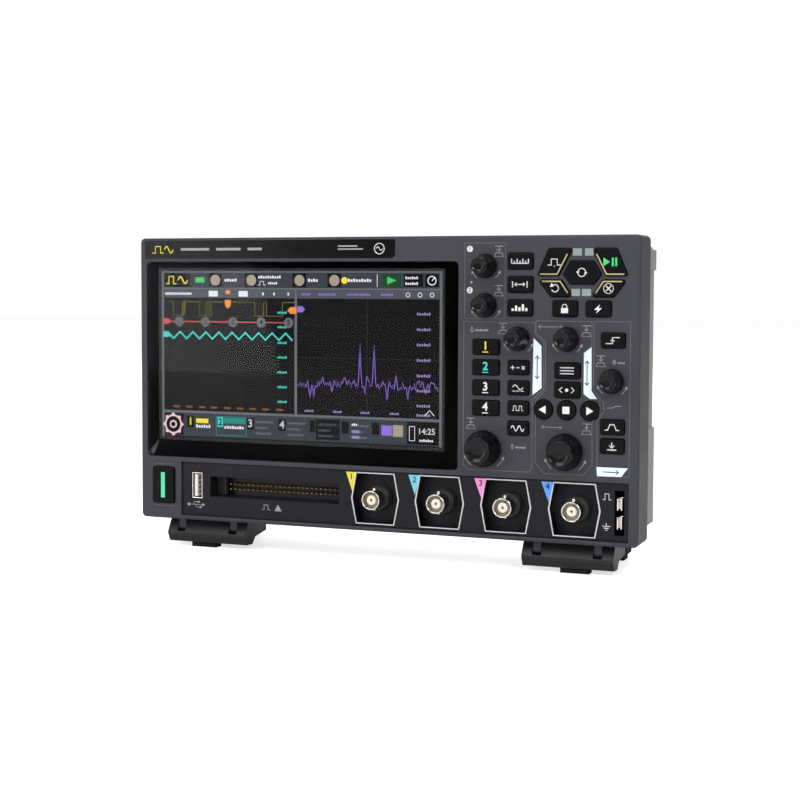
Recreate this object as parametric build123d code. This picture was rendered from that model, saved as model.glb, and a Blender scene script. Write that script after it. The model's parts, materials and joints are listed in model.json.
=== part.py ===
from build123d import *
import math
import os

# Compact bench oscilloscope: touch display on the left, controls on the right, inputs below.
#
# Lengths are millimetres. While a piece is being drawn, x runs from the centre to the right, y runs from
# the front face (0) towards the back, and z runs up from the underside of the body. Every piece is then
# moved together, so that the object stands on z = 0 with its bounding box centred on the z axis.

# Overall sizes
body_width = 265.35
body_height = 146.35
body_depth = 65.44
knob_stand = 11.6
foot_drop = 15.4

# Front bezel
bezel_depth = 20.0
plate = 3.2
wall = 2.0
rim_wall = 2.5
corner_radius = 2.5

# Rear cover
cover_inset = 7.2
cover_wall = 2.5
cover_front = 16.2
cover_corner = 6.0

# Touch glass and display
glass_left = 4.0
glass_right = 89.4
glass_bottom = 32.7
glass_top = 12.35
glass_thickness = 1.8
glass_sink = 0.4
glass_corner = 2.5
active_left = 7.7
active_right = 9.1
active_bottom = 10.3
active_top = 5.0
display_back = 8.6

# Input panel
input_left = 23.7
input_right = 4.7
input_low = 2.2
input_high = 30.3
input_sink = 1.2
input_plate = 2.0

# Input connectors
bnc_pitch = 33.95
bnc_last = 31.1
bnc_height = 16.2
bnc_tip = 5.0
bnc_radius = 4.8
bnc_barrel = 4.4
bnc_neck = bnc_radius - 0.2
bnc_bore = bnc_radius - 0.75
bnc_post = 2.4
bnc_contact_bore = 0.7
bnc_bore_depth = 9.0
bnc_post_sink = 1.2
bnc_stud_start = 4.6
bnc_stud_wide = 1.9
bnc_stud_high = 0.8
bnc_base = 14.0
bnc_collar = 6.8
cup_depth = 8.5
cup_floor = 1.5
cup_wall = 1.5
cup_half_top = 9.7
cup_half_middle = 12.0
cup_top = 28.6
cup_bottom = 4.0
header_centre = 76.6
header_height = 17.75
header_width = 72.8
header_tall = 10.5
header_wall = 2.0
header_cavity = 9.0
usb_wide = 5.1
usb_tall = 12.5
usb_deep = 14.0
shell_wall = 0.45
front_usb_inset = 32.4
front_usb_height = 18.0
probe_inset = 9.3
probe_slot = (4.8, 21.4)
probe_height = 15.9
probe_tab_tall = 5.6

# Boards and chassis
mat_front = 6.7
mat_thickness = 1.0
board_thickness = 1.6
chassis_front = 15.0
chassis_thickness = 1.2
main_board_front = 22.0
main_board_margin = 20.7

# Keys
key_stand = 1.4
key_travel = 1.0
key_flange = 0.6
key_flange_thick = 1.2
key_back = 4.5
power_inset = 13.7
power_height = 17.65
power_size = (12.7, 18.9)

# Knobs
shaft_radius = 3.0
small_knob = (6.1, 3.9)
large_knob = (9.2, 6.2)
knob_gap = 0.9
shaft_cover = 3.7
encoder_size = 11.0
encoder_front = 3.7
encoder_bore_depth = 3.6

# Tilt legs and feet
leg_inner = 74.5
leg_outer = 119.8
leg_axis_depth = 9.5
leg_axis_drop = 4.5
leg_pin = 1.25
leg_pad = (93.0, 107.2)
ear_thick = 4.0
ear_radius = 2.4
ear_places = (82.0, 112.0)
foot_near = 50.0
foot_far = 62.0
foot_inner = 92.0
foot_outer = 116.0

# Back of the instrument
pocket_left = 14.0
pocket_width = 59.0
pocket_low = 18.0
pocket_high = 128.0
pocket_depth = 19.9
pocket_wall = 2.0
vesa_pitch = 100.0
vesa_hole = 2.0
vesa_boss = 5.0
vesa_depth = 8.0
fan_size = 40.0
fan_depth = 10.0
fan_bore = 19.0
fan_inset = 47.7
fan_height = 95.0
fan_hub = 7.6
fan_pin = 1.0
blade_count = 7
blade_tip = 18.3

# Screws
screw_radius = 1.4
screw_head = 2.8
screw_head_tall = 2.0
screw_inset = 14.7
screw_high = 6.85
screw_low = 6.5
boss_radius = 4.2

# Named clearances
key_gap = 0.3
fit_gap = 0.2
running_gap = 0.05
shaft_gap = 0.4
screw_gap = 0.15

right = body_width / 2
left = -right
inner_back = body_depth - cover_wall
cover_right = right - cover_inset
pocket_floor = body_depth - pocket_depth
home = Pos(0, (knob_stand - body_depth) / 2, foot_drop)


# Drawing helpers -------------------------------------------------------------------------------

def slab(outline, near, far):
    """Extrudes a front-view outline from depth near to depth far."""
    return extrude(Plane.XZ.offset(-far) * outline, far - near, dir=(0, -1, 0))


def panel(x0, z0, x1, z1, near, far, radius=0.0):
    """Rectangular slab between two corners, with optional rounded corners."""
    size = (x1 - x0, z1 - z0)
    face = RectangleRounded(*size, radius) if radius else Rectangle(*size)
    return slab(Pos((x0 + x1) / 2, (z0 + z1) / 2) * face, near, far)


def rod(x, z, radius, near, far):
    """Round bar along the depth axis."""
    return slab(Pos(x, z) * Circle(radius), near, far)


def block(centre, size, near, far, radius=0.0):
    """Rectangular slab from a centre and a size in the front view."""
    half = (size[0] / 2, size[1] / 2)
    return panel(centre[0] - half[0], centre[1] - half[1], centre[0] + half[0], centre[1] + half[1],
                 near, far, radius)


def closed(points, radius=0.0):
    """Front-view polygon with its corners rounded."""
    face = Polygon(*points, align=None)
    return fillet(face.vertices(), radius) if radius else face


def join(pieces):
    """Fuses a list of solids that touch."""
    first, *others = pieces
    return first.fuse(*others) if others else first


def save(name, *pieces):
    """Moves the solids of one piece into place and writes them."""
    solids = [home * solid for piece in pieces for solid in piece.solids()]
    export_step(Compound(solids), f"parts/{name}.step")


# Places that several pieces share --------------------------------------------------------------

bnc_places = [right - bnc_last - bnc_pitch * (3 - i) for i in range(4)]
screw_places = [(side * (right - screw_inset), height)
                for side in (-1, 1) for height in (screw_low, body_height - screw_high)]
rear_bnc_places = [(left + 30.7, 104.0), (left + 30.7, 74.0)]
port_x = left + 56.0
vesa_height = body_height / 2
vesa_places = [(x * vesa_pitch / 2, vesa_height + z * vesa_pitch / 2) for x in (-1, 1) for z in (-1, 1)]
fan_x = right - fan_inset
cover_low = wall + fit_gap
cover_high = body_height - cover_low
main_screws = [(x, z) for x in (left + main_board_margin + 5, right - main_board_margin - 5)
               for z in (88.0, body_height - 20.0)]


def key_outlines():
    """Front-view outline of every key, by node name."""
    keys = {}

    def rectangle(name, inset, height, wide, tall):
        keys[name] = Pos(right - inset, height) * RectangleRounded(wide, tall, 1.0)

    for name, height in (("measure", 134.1), ("cursor", 123.0), ("analyse", 111.9)):
        rectangle(f"{name}_key", 58.0, height, 12.4, 7.6)
    for name, inset in (("touch_lock", 36.0), ("quick", 19.9)):
        rectangle(f"{name}_key", inset, 111.7, 12.1, 7.4)
    for number in range(4):
        rectangle(f"channel_{number + 1}_key", 74.9, 92.95 - 9.77 * number, 13.5, 7.2)
        name = ("math", "reference", "logic", "generator")[number]
        rectangle(f"{name}_key", 58.6, 83.4 - 9.68 * number, 10.5, 6.7)
    for name, height in (("menu", 82.5), ("navigate", 73.35)):
        rectangle(f"{name}_key", 34.6, height, 12.4, 7.4)
    for name, height in (("trigger_menu", 97.05), ("slope", 56.5), ("force", 47.6)):
        rectangle(f"{name}_key", 12.7, height, 11.4, 7.0)
    for number, name in enumerate(("previous", "stop", "next")):
        keys[f"{name}_key"] = Pos(right - 46.2 + 11.3 * number, 63.8) * Circle(4.6)

    # The five large keys stand symmetrically about one centre line.
    middle = right - 27.9
    for side, upper, lower in ((-1, "single_key", "default_key"), (1, "run_stop_key", "clear_key")):
        high = [(4.7, 140.0), (16.3, 140.0), (21.8, 127.2), (11.3, 127.2)]
        low = [(9.9, 125.2), (21.3, 125.2), (15.1, 117.3), (4.5, 117.3)]
        for name, corners in ((upper, high), (lower, low)):
            keys[name] = closed([(middle + side * x, z) for x, z in corners], 0.9)
    half = [(5.65, 134.1), (9.2, 127.9), (5.8, 123.3)]
    around = half + [(-x, z) for x, z in reversed(half)]
    keys["auto_key"] = closed([(middle + x, z) for x, z in around], 0.9)
    keys["power_key"] = Pos(left + power_inset, power_height) * RectangleRounded(*power_size, 1.2)
    return keys


knob_places = {
    "upper_multi": (right - 75.3, 131.8, small_knob),
    "lower_multi": (right - 75.3, 113.0, small_knob),
    "vertical_position": (right - 58.8, 97.2, small_knob),
    "horizontal_position": (right - 34.8, 97.3, small_knob),
    "trigger_level": (right - 13.1, 78.0, small_knob),
    "vertical_scale": (right - 75.7, 44.0, large_knob),
    "horizontal_scale": (right - 35.4, 44.0, large_knob),
}


# Front of the instrument -----------------------------------------------------------------------

def cup_outline(x, grow=0.0):
    """Six-sided outline of the recess around one input connector."""
    middle = (cup_top + cup_bottom) / 2
    half = [(cup_half_top + grow, cup_top + grow), (cup_half_middle + grow, middle),
            (cup_half_top + grow, cup_bottom - grow)]
    return closed([(x - dx, z) for dx, z in half] + [(x + dx, z) for dx, z in reversed(half)])


def glass_outline(grow=0.0):
    """Corners of the touch glass, as x0, z0, x1, z1."""
    return (left + glass_left - grow, glass_bottom - grow,
            right - glass_right + grow, body_height - glass_top + grow)


def active_outline(grow=0.0):
    """Corners of the lit part of the display."""
    x0, z0, x1, z1 = glass_outline()
    return (x0 + active_left - grow, z0 + active_bottom - grow,
            x1 - active_right + grow, z1 - active_top + grow)


def front_bezel(keys):
    """Front plate with its side walls, windows and ears for the tilt legs."""
    shell = panel(left, 0, right, body_height, 0, bezel_depth, corner_radius)
    shell = chamfer(shell.faces().sort_by(Axis.Y)[0].edges(), 1.0)
    shell -= panel(left + wall, wall, right - wall, body_height - wall, plate, bezel_depth - rim_wall)
    shell -= panel(-cover_right - fit_gap, wall, cover_right + fit_gap, body_height - wall,
                   bezel_depth - rim_wall, bezel_depth, cover_corner)
    shell -= panel(*glass_outline(fit_gap), 0, glass_sink + glass_thickness, glass_corner)
    shell -= panel(*active_outline(1.5 + fit_gap), 0, plate)
    shell -= panel(left + input_left, input_low, right - input_right, input_high, 0, plate)
    shell -= [slab(offset(outline, key_gap), 0, plate) for outline in keys.values()]
    shell -= [rod(x, z, shaft_radius + shaft_gap, 0, plate) for x, z, _ in knob_places.values()]

    additions = []
    lug_near = plate + 7.8
    for x, z in screw_places:
        outer = body_height - wall if z > vesa_height else wall
        low, high = sorted((outer, z + (4.5 if z < vesa_height else -4.5)))
        additions.append(panel(x - 4.5, low, x + 4.5, high, lug_near, cover_front))
    for side in (-1, 1):
        edge = side * (right - wall)
        for z in (60.0, body_height - 36.0):
            x0, x1 = sorted((edge, edge - side * 6.0))
            additions.append(panel(x0, z, x1, z + 12.0, lug_near, chassis_front))
        for place in ear_places:
            additions.append(leg_ear(side * place))
    shell = join([shell] + additions)
    shell -= [rod(x, z, screw_radius + screw_gap / 2, lug_near + 0.5, cover_front) for x, z in screw_places]
    return shell


def along_x(outline, x0, x1):
    """Extrudes an outline drawn in depth and height from x0 to x1."""
    return extrude(Plane.YZ.offset(x0) * outline, x1 - x0, dir=(1, 0, 0))


def leg_ear(x):
    """Ear under the bezel that carries the hinge pin of a tilt leg."""
    axis = (leg_axis_depth, -leg_axis_drop)
    base = Pos(axis[0], (axis[1] + wall / 2) / 2) * Rectangle(2 * ear_radius, wall / 2 - axis[1])
    ear = along_x(base + Pos(*axis) * Circle(ear_radius), x - ear_thick / 2, x + ear_thick / 2)
    return ear - along_x(Pos(*axis) * Circle(leg_pin + running_gap), x - ear_thick, x + ear_thick)


def input_panel():
    """Darker insert with the logic and probe slots, and the recess behind it for every input."""
    low_x = left + input_left + fit_gap
    high_x = right - input_right - fit_gap
    back = input_sink + input_plate
    rim = back + 1.0
    face = panel(low_x, input_low + fit_gap, high_x, input_high - fit_gap, input_sink, back)
    face += panel(low_x - 1.5, input_low + fit_gap, high_x + 1.5, input_high + 1.2, back, rim)
    face -= [slab(cup_outline(x), input_sink, rim) for x in bnc_places]
    face -= block((left + header_centre, header_height), (header_width, header_tall), input_sink, rim)
    usb_hole = (usb_wide + 2 * (shell_wall + fit_gap), usb_tall + 2 * (shell_wall + fit_gap))
    face -= block((left + front_usb_inset, front_usb_height), usb_hole, input_sink, rim)
    face -= block((right - probe_inset, probe_height), probe_slot, input_sink, rim)
    return [face] + [input_cup(x, rim) for x in bnc_places]


def input_cup(x, near):
    """Six-sided recess with a raised ring round the hole for its connector."""
    far = cup_depth + cup_floor
    cup = slab(cup_outline(x, cup_wall), near, far) - slab(cup_outline(x), near, cup_depth)
    cup += rod(x, bnc_height, bnc_collar, cup_depth - 1.0, cup_depth)
    cup -= rod(x, bnc_height, bnc_radius + 1.1, cup_depth - 1.0, far)
    return cup & panel(left, input_low + fit_gap, right, input_high + cup_wall, near, far)


def touch_glass():
    """Cover glass of the display."""
    sheet = panel(*glass_outline(), glass_sink, glass_sink + glass_thickness, glass_corner)
    return chamfer(sheet.faces().sort_by(Axis.Y)[0].edges(), 0.3)


def lcd_module():
    """Display module: the lit face fits the window, the metal frame sits behind the bezel."""
    face_front = glass_sink + glass_thickness + 0.1
    x0, z0, x1, z1 = active_outline(1.5)
    body = panel(x0, z0, x1, z1, face_front, plate + 0.1)
    frame = panel(x0 - 3.5, z0 - 5.0, x1 + 4.5, z1 + 1.8, plate + 0.1, display_back)
    return body + frame


def key_mat(keys):
    """Silicone sheet with one raised dome behind every key of the control area."""
    x0, x1 = right - glass_right + 3.4, right - 3.2
    sheet = panel(x0, 35.0, x1, 142.0, mat_front, mat_front + mat_thickness, 2.0)
    dome_front = key_back + key_travel + 0.1
    domes = []
    for name, outline in keys.items():
        if name != "power_key":
            centre = outline.center()
            domes.append(rod(centre.X, centre.Y, 2.4, dome_front, mat_front))
    sheet = join([sheet] + domes)
    opening = encoder_size + 2 * fit_gap
    sheet -= [block((x, z), (opening, opening), 0, mat_front + mat_thickness)
              for x, z, _ in knob_places.values()]
    return sheet


def key_board():
    """Front circuit board with the seven encoder housings, and the small power board beside it."""
    near = mat_front + mat_thickness
    x0, x1 = right - glass_right + 3.0, right - 2.8
    board = panel(x0, 34.0, x1, 142.5, near, near + board_thickness)
    housings = [block((x, z), (encoder_size, encoder_size), encoder_front, near)
                for x, z, _ in knob_places.values()]
    board = join([board] + housings)
    board -= [rod(x, z, shaft_radius + running_gap, encoder_front, encoder_front + encoder_bore_depth)
              for x, z, _ in knob_places.values()]
    power_x = left + power_inset
    power = panel(power_x - 7.5, 5.0, power_x + 7.0, 29.5, near, near + board_thickness)
    power += block((power_x, power_height), (6.0, 6.0), key_back + key_travel + 0.1, near)
    return board, power


def key(outline):
    """Key cap with a flange behind the plate that keeps it in its hole."""
    cap = slab(outline, -key_stand, key_back)
    cap = chamfer(cap.faces().sort_by(Axis.Y)[0].edges(), 0.4)
    return cap + slab(offset(outline, key_flange), key_back - key_flange_thick, key_back)


def knob(x, z, radii):
    """Control knob: a wide skirt, a rounded crown and a shallow dish in its face."""
    base, face = radii
    profile = Plane.XY * make_face(Polyline(
        (0, -knob_stand + 0.8), (face - 1.0, -knob_stand + 0.8), (face - 0.3, -knob_stand),
        (face + 0.3, -knob_stand), (base - 0.9, -knob_stand + 2.4), (base - 0.5, -knob_gap - 3.0),
        (base, -knob_gap - 2.0), (base, -knob_gap), (0, -knob_gap), close=True))
    body = revolve(profile, Axis.Y)
    body -= rod(0, 0, shaft_radius + running_gap, -knob_stand + shaft_cover, -knob_gap)
    return Pos(x, 0, z) * body


def knob_shaft(x, z):
    """Encoder shaft that carries a knob and moves in when the knob is pressed."""
    tip = -knob_stand + shaft_cover + 0.1
    shaft = rod(x, z, shaft_radius, tip, encoder_front + encoder_bore_depth - key_travel)
    return chamfer(shaft.faces().sort_by(Axis.Y)[0].edges(), 0.3)


# Connectors ------------------------------------------------------------------------------------

def bnc_shell(x, z, tip, seat):
    """Bayonet connector body from its tip to the board that it stands on; seat is the board face."""
    toward = 1 if seat > tip else -1
    shoulder = tip + toward * (bnc_tip + cup_depth + cup_floor + fit_gap)

    def stretch(radius, start, end):
        return rod(x, z, radius, *sorted((start, end)))

    plain = tip + toward * bnc_barrel
    body = stretch(bnc_radius, tip, plain) + stretch(bnc_neck, plain, shoulder)
    body += block((x, z), (bnc_base, bnc_base), *sorted((shoulder, seat)))
    stud_near = tip + toward * bnc_stud_start
    stud_far = stud_near + toward * bnc_stud_wide
    for side in (-1, 1):
        at = (x, z + side * (bnc_radius + bnc_stud_high / 4))
        body += block(at, (bnc_stud_wide, 2 * bnc_stud_high), *sorted((stud_near, stud_far)))
    body -= stretch(bnc_bore, tip, tip + toward * bnc_bore_depth)
    body -= stretch(bnc_post, tip + toward * bnc_bore_depth, seat)
    return body


def bnc_insulator(x, z, tip, seat):
    """Insulating core of a bayonet connector, with the hole of its centre contact."""
    toward = 1 if seat > tip else -1
    floor_far = tip + toward * bnc_bore_depth
    floor_near = tip + toward * (bnc_bore_depth - 2.0)
    core = rod(x, z, bnc_post, *sorted((tip + toward * bnc_post_sink, seat)))
    core += rod(x, z, bnc_bore, *sorted((floor_near, floor_far)))
    return core - rod(x, z, bnc_contact_bore, *sorted((tip, floor_near + toward)))


def bnc_stations():
    """Place, tip and seat of the four inputs in front and the two connectors behind."""
    front = [(x, bnc_height, -bnc_tip, main_board_front) for x in bnc_places]
    back = [(x, z, pocket_floor + 13.0, main_board_front + board_thickness) for x, z in rear_bnc_places]
    return front + back


def logic_header():
    """Box header behind the wide slot of the input panel."""
    near = input_sink + input_plate + 1.0 + fit_gap / 2
    centre = (left + header_centre, header_height)
    outer = (header_width + 2 * header_wall, header_tall + 2 * header_wall)
    body = block(centre, outer, near, main_board_front)
    return body - block(centre, (header_width, header_tall), near, near + header_cavity)


def port_box(centre, opening, near, far, cavity, mouth):
    """Metal socket with an open mouth at its near or far end."""
    outer = (opening[0] + 2 * shell_wall, opening[1] + 2 * shell_wall)
    body = block(centre, outer, near, far)
    hollow = (near, near + cavity) if mouth == "near" else (far - cavity, far)
    return body - block(centre, opening, *hollow)


rear_ports = {
    "network": (118.0, (11.8, 8.4), 13.0),
    "video": (100.0, (14.0, 4.6), 9.0),
    "usb_host": (81.0, (usb_tall, usb_wide), 11.0),
    "usb_device": (61.0, (8.5, 7.8), 9.0),
    "power_inlet": (40.0, (8.6, 2.9), 6.5),
}


def port_shells():
    """Front and rear sockets and the two probe compensation tabs."""
    usb_at = (left + front_usb_inset, front_usb_height)
    usb_front = input_sink + 0.4
    shells = [port_box(usb_at, (usb_wide, usb_tall), usb_front, main_board_front, usb_deep, "near")]
    board_back = main_board_front + board_thickness
    for height, opening, cavity in rear_ports.values():
        shells.append(port_box((port_x, height), opening, board_back, pocket_floor, cavity, "far"))
    tab_x = right - probe_inset
    for height in (probe_height + 4.1, probe_height - 4.8):
        for side in (-0.9, 0.9):
            shells.append(block((tab_x + side, height), (0.6, probe_tab_tall), 1.6, 8.0))
        shells.append(block((tab_x, height), (2.4, probe_tab_tall), 8.0, 9.4))
    return shells


# Inside ----------------------------------------------------------------------------------------

def main_board():
    """Main circuit board with its heat sink, shield cans and power parts."""
    x0, x1 = left + main_board_margin, right - main_board_margin
    board = panel(x0, 11.5, x1, body_height - 12.0, main_board_front, main_board_front + board_thickness)
    back = main_board_front + board_thickness
    sink = panel(-30.0, 45.0, 35.0, 105.0, back, back + 3.0)
    fins = [panel(-30.0 + 5.0 * i, 45.0, -28.6 + 5.0 * i, 105.0, back + 3.0, back + 15.0) for i in range(13)]
    cans = [panel(x - 13.0, 33.0, x + 13.0, 58.0, main_board_front - 4.0, main_board_front)
            for x in bnc_places]
    chips = [block(at, size, back, back + 2.2)
             for at, size in (((60.0, 40.0), (22.0, 22.0)), ((88.0, 40.0), (16.0, 16.0)),
                              ((60.0, 118.0), (14.0, 20.0)), ((82.0, 122.0), (14.0, 12.0)))]
    cells = [rod(x, z, 5.0, back, back + 14.0) for x, z in ((50.0, 70.0), (50.0, 84.0), (50.0, 98.0))]
    board -= [rod(x, z, screw_radius + screw_gap, main_board_front, back) for x, z in main_screws]
    return join([board, sink] + fins + cans + chips + cells)


def chassis_plate():
    """Metal plate that carries the display and both boards, clamped between bezel and rear cover."""
    low_x, high_x = left + 9.7, right - 9.7
    low_z, high_z = 64.0 - 31.0, body_height - 13.4
    back = chassis_front + chassis_thickness
    body = panel(low_x, low_z, high_x, high_z, chassis_front, back, 3.0)
    for z in (60.0, body_height - 36.0):
        body += panel(low_x - 5.5, z + 1.0, high_x + 5.5, z + 11.0, chassis_front, back)
    x0, z0, x1, z1 = active_outline()
    posts = [rod(x, z, 3.0, display_back, chassis_front) for x in (x0 + 10, x1 - 10) for z in (z0, z1 - 4)]
    board_back = mat_front + mat_thickness + board_thickness
    posts += [rod(right - inset, z, 3.0, board_back, chassis_front) for inset in (80.0, 12.0)
              for z in (40.0, 125.0)]
    body = join([body] + posts)
    for x, z in main_screws:
        body += rod(x, z, 3.2, back, main_board_front)
        body -= rod(x, z, screw_radius + screw_gap / 2, back, main_board_front)
    window = panel(-60.0, 55.0, 10.0, 110.0, chassis_front, back, 4.0)
    return body - window


def fan_frame():
    """Square fan housing with a three-armed hub and a fixed centre pin."""
    near, far = inner_back - fan_depth, inner_back
    body = block((fan_x, fan_height), (fan_size, fan_size), near, far, 3.0)
    body -= rod(fan_x, fan_height, fan_bore, near, far)
    hub = [rod(fan_x, fan_height, fan_hub, near, near + 1.6)]
    arm = block((0, (fan_hub + fan_bore) / 2), (3.0, fan_bore - fan_hub + 2.0), near, near + 1.6)
    hub += [Pos(fan_x, 0, fan_height) * Rot(0, angle, 0) * arm for angle in (30, 150, 270)]
    hub.append(rod(fan_x, fan_height, fan_pin, near + 1.6, far - 1.8))
    body = join([body] + hub)
    corner = fan_size / 2 - 4.0
    holes = [rod(fan_x + x * corner, fan_height + z * corner, screw_radius + screw_gap, near, far)
             for x in (-1, 1) for z in (-1, 1)]
    return body - holes


def fan_rotor():
    """Fan hub with its ring of slanted blades."""
    near, far = inner_back - fan_depth + 2.0, inner_back - 0.9
    hub = rod(0, 0, fan_hub, near, far)
    middle = (near + far) / 2
    reach = blade_tip - fan_hub + 1.2
    blade = Pos(0, middle, fan_hub - 1.2 + reach / 2) * Rot(0, 0, 38) * Box(6.4, 1.3, reach)
    rotor = join([hub] + [Rot(0, 360 / blade_count * i, 0) * blade for i in range(blade_count)])
    rotor &= rod(0, 0, blade_tip, near, far)
    rotor -= rod(0, 0, fan_pin + running_gap, near, far - 0.7)
    return Pos(fan_x, 0, fan_height) * rotor


# Back of the instrument ------------------------------------------------------------------------

def rear_cover():
    """Rear shell with the connector pocket, fan grille, mounting holes and corner bumpers."""
    low, high = cover_low, cover_high
    shell = panel(-cover_right, low, cover_right, high, cover_front, body_depth, cover_corner)
    shell = chamfer(shell.faces().sort_by(Axis.Y)[-1].edges(), 3.0)
    shell -= panel(-cover_right + cover_wall, low + cover_wall, cover_right - cover_wall, high - cover_wall,
                   cover_front, inner_back, cover_corner - cover_wall)
    pocket = (left + pocket_left, pocket_low, left + pocket_left + pocket_width, pocket_high)
    around = (pocket[0] - pocket_wall, pocket[1] - pocket_wall, pocket[2] + pocket_wall,
              pocket[3] + pocket_wall)
    additions = [panel(*around, pocket_floor - pocket_wall, inner_back)]
    additions += [rod(x, z, boss_radius, cover_front, inner_back) for x, z in screw_places]
    additions += [rod(x, z, vesa_boss, inner_back - vesa_depth, inner_back) for x, z in vesa_places]
    for side in (-1, 1):
        for z0, z1 in ((4.0, 52.0), (body_height - 16.0, body_height - 6.0)):
            x0, x1 = sorted((side * (cover_right - 1.0), side * (cover_right + 1.5)))
            additions.append(panel(x0, z0, x1, z1, body_depth - 21.0, body_depth - 5.0))
    shell = join([shell] + additions)

    shell -= panel(*pocket, pocket_floor, body_depth)
    for height, opening, _ in rear_ports.values():
        hole = tuple(size + 2 * (shell_wall + fit_gap) for size in opening)
        shell -= block((port_x, height), hole, pocket_floor - pocket_wall, pocket_floor)
    shell -= [rod(x, z, bnc_base / 2 + 3.2, pocket_floor - pocket_wall, pocket_floor)
              for x, z in rear_bnc_places]
    shell -= [rod(x, z, screw_radius + screw_gap, cover_front, body_depth) for x, z in screw_places]
    shell -= [rod(x, z, screw_head + screw_gap, body_depth - screw_head_tall - 1.0, body_depth)
              for x, z in screw_places]
    shell -= [rod(x, z, vesa_hole, body_depth - vesa_depth, body_depth) for x, z in vesa_places]
    shell -= grille()
    for side in (-1, 1):
        x0, x1 = sorted((side * (cover_right - cover_wall), side * (cover_right + 0.5)))
        shell -= [panel(x0, 62.0 + 7.0 * i, x1, 65.0 + 7.0 * i, 26.0, 42.0) for i in range(8)]
    return shell


def grille():
    """Horizontal air slots as long as the fan's opening at each height."""
    slots = []
    for row in range(-3, 4):
        height = row * 5.0
        half = math.sqrt((fan_bore - 1.5) ** 2 - height ** 2)
        slots.append(block((fan_x, fan_height + height), (2 * half, 2.4), inner_back, body_depth, 1.0))
    return slots


def screws():
    """Rear cover screws, main board screws and fan screws."""
    pieces = []
    head_near = body_depth - screw_head_tall - 1.0
    for x, z in screw_places:
        pieces.append(rod(x, z, screw_radius, cover_front - 4.0, head_near)
                      + rod(x, z, screw_head, head_near, head_near + screw_head_tall))
    board_back = main_board_front + board_thickness
    for x, z in main_screws:
        pieces.append(rod(x, z, screw_radius, main_board_front - 4.5, board_back)
                      + rod(x, z, screw_head, board_back, board_back + screw_head_tall))
    corner = fan_size / 2 - 4.0
    fan_near = inner_back - fan_depth
    for side_x in (-1, 1):
        for side_z in (-1, 1):
            x, z = fan_x + side_x * corner, fan_height + side_z * corner
            pieces.append(rod(x, z, screw_radius, fan_near, inner_back)
                          + rod(x, z, screw_head, fan_near - screw_head_tall, fan_near))
    return pieces


def rear_feet():
    """Two rubber feet below the rear cover."""
    feet = []
    for side in (-1, 1):
        x0, x1 = sorted((side * foot_inner, side * foot_outer))
        high = panel(x0, -foot_drop + 3.0, x1, cover_low, foot_near, foot_far)
        feet.append(high + panel(x0 + 1.5, -foot_drop, x1 - 1.5, -foot_drop + 3.0,
                                 foot_near + 1.5, foot_far - 1.5))
    return feet


def tilt_leg(side):
    """Folding front leg: a ridged block, a strut that swings down, and a rubber pad."""
    outline = closed([(9.2, -0.8), (5.1, -7.5), (5.2, -9.0), (7.4, -12.9), (14.0, -13.2), (17.6, -9.6),
                      (30.5, -8.0), (30.5, -2.4), (28.5, -0.8)], 0.5)
    body = along_x(outline, leg_inner, leg_outer)
    low = -leg_axis_drop - ear_radius - key_gap
    for place in ear_places:
        half = ear_thick / 2 + key_gap
        notch = Pos((leg_axis_depth + ear_radius + key_gap) / 2, low / 2)
        notch *= Rectangle(leg_axis_depth + ear_radius + key_gap, -low)
        body -= along_x(notch, place - half, place + half)
    pin = Pos(leg_axis_depth, -leg_axis_drop) * Circle(leg_pin)
    body += along_x(pin, leg_inner + 3.0, leg_outer - 3.0)
    pad = panel(leg_pad[0], -foot_drop, leg_pad[1], -12.0, 8.5, 14.5)
    body += pad
    return body if side > 0 else mirror(body, about=Plane.YZ)


# Writing ---------------------------------------------------------------------------------------

def build():
    """Makes every piece and writes one file for each."""
    os.makedirs("parts", exist_ok=True)
    keys = key_outlines()
    stations = bnc_stations()
    save("front_bezel", front_bezel(keys))
    save("input_panel", *input_panel())
    save("touch_glass", touch_glass())
    save("lcd_module", lcd_module())
    save("key_mat", key_mat(keys))
    save("key_board", *key_board())
    save("bnc_shells", *[bnc_shell(*station) for station in stations])
    save("bnc_insulators", *[bnc_insulator(*station) for station in stations])
    save("logic_header", logic_header())
    save("port_shells", *port_shells())
    save("main_board", main_board())
    save("chassis_plate", chassis_plate())
    save("fan_frame", fan_frame())
    save("fan_rotor", fan_rotor())
    save("rear_cover", rear_cover())
    save("screws", *screws())
    save("rear_feet", *rear_feet())
    save("left_tilt_leg", tilt_leg(-1))
    save("right_tilt_leg", tilt_leg(1))
    for name, outline in keys.items():
        save(name, key(outline))
    for name, (x, z, radii) in knob_places.items():
        save(f"{name}_knob", knob(x, z, radii))
        save(f"{name}_shaft", knob_shaft(x, z))


build()
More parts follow.
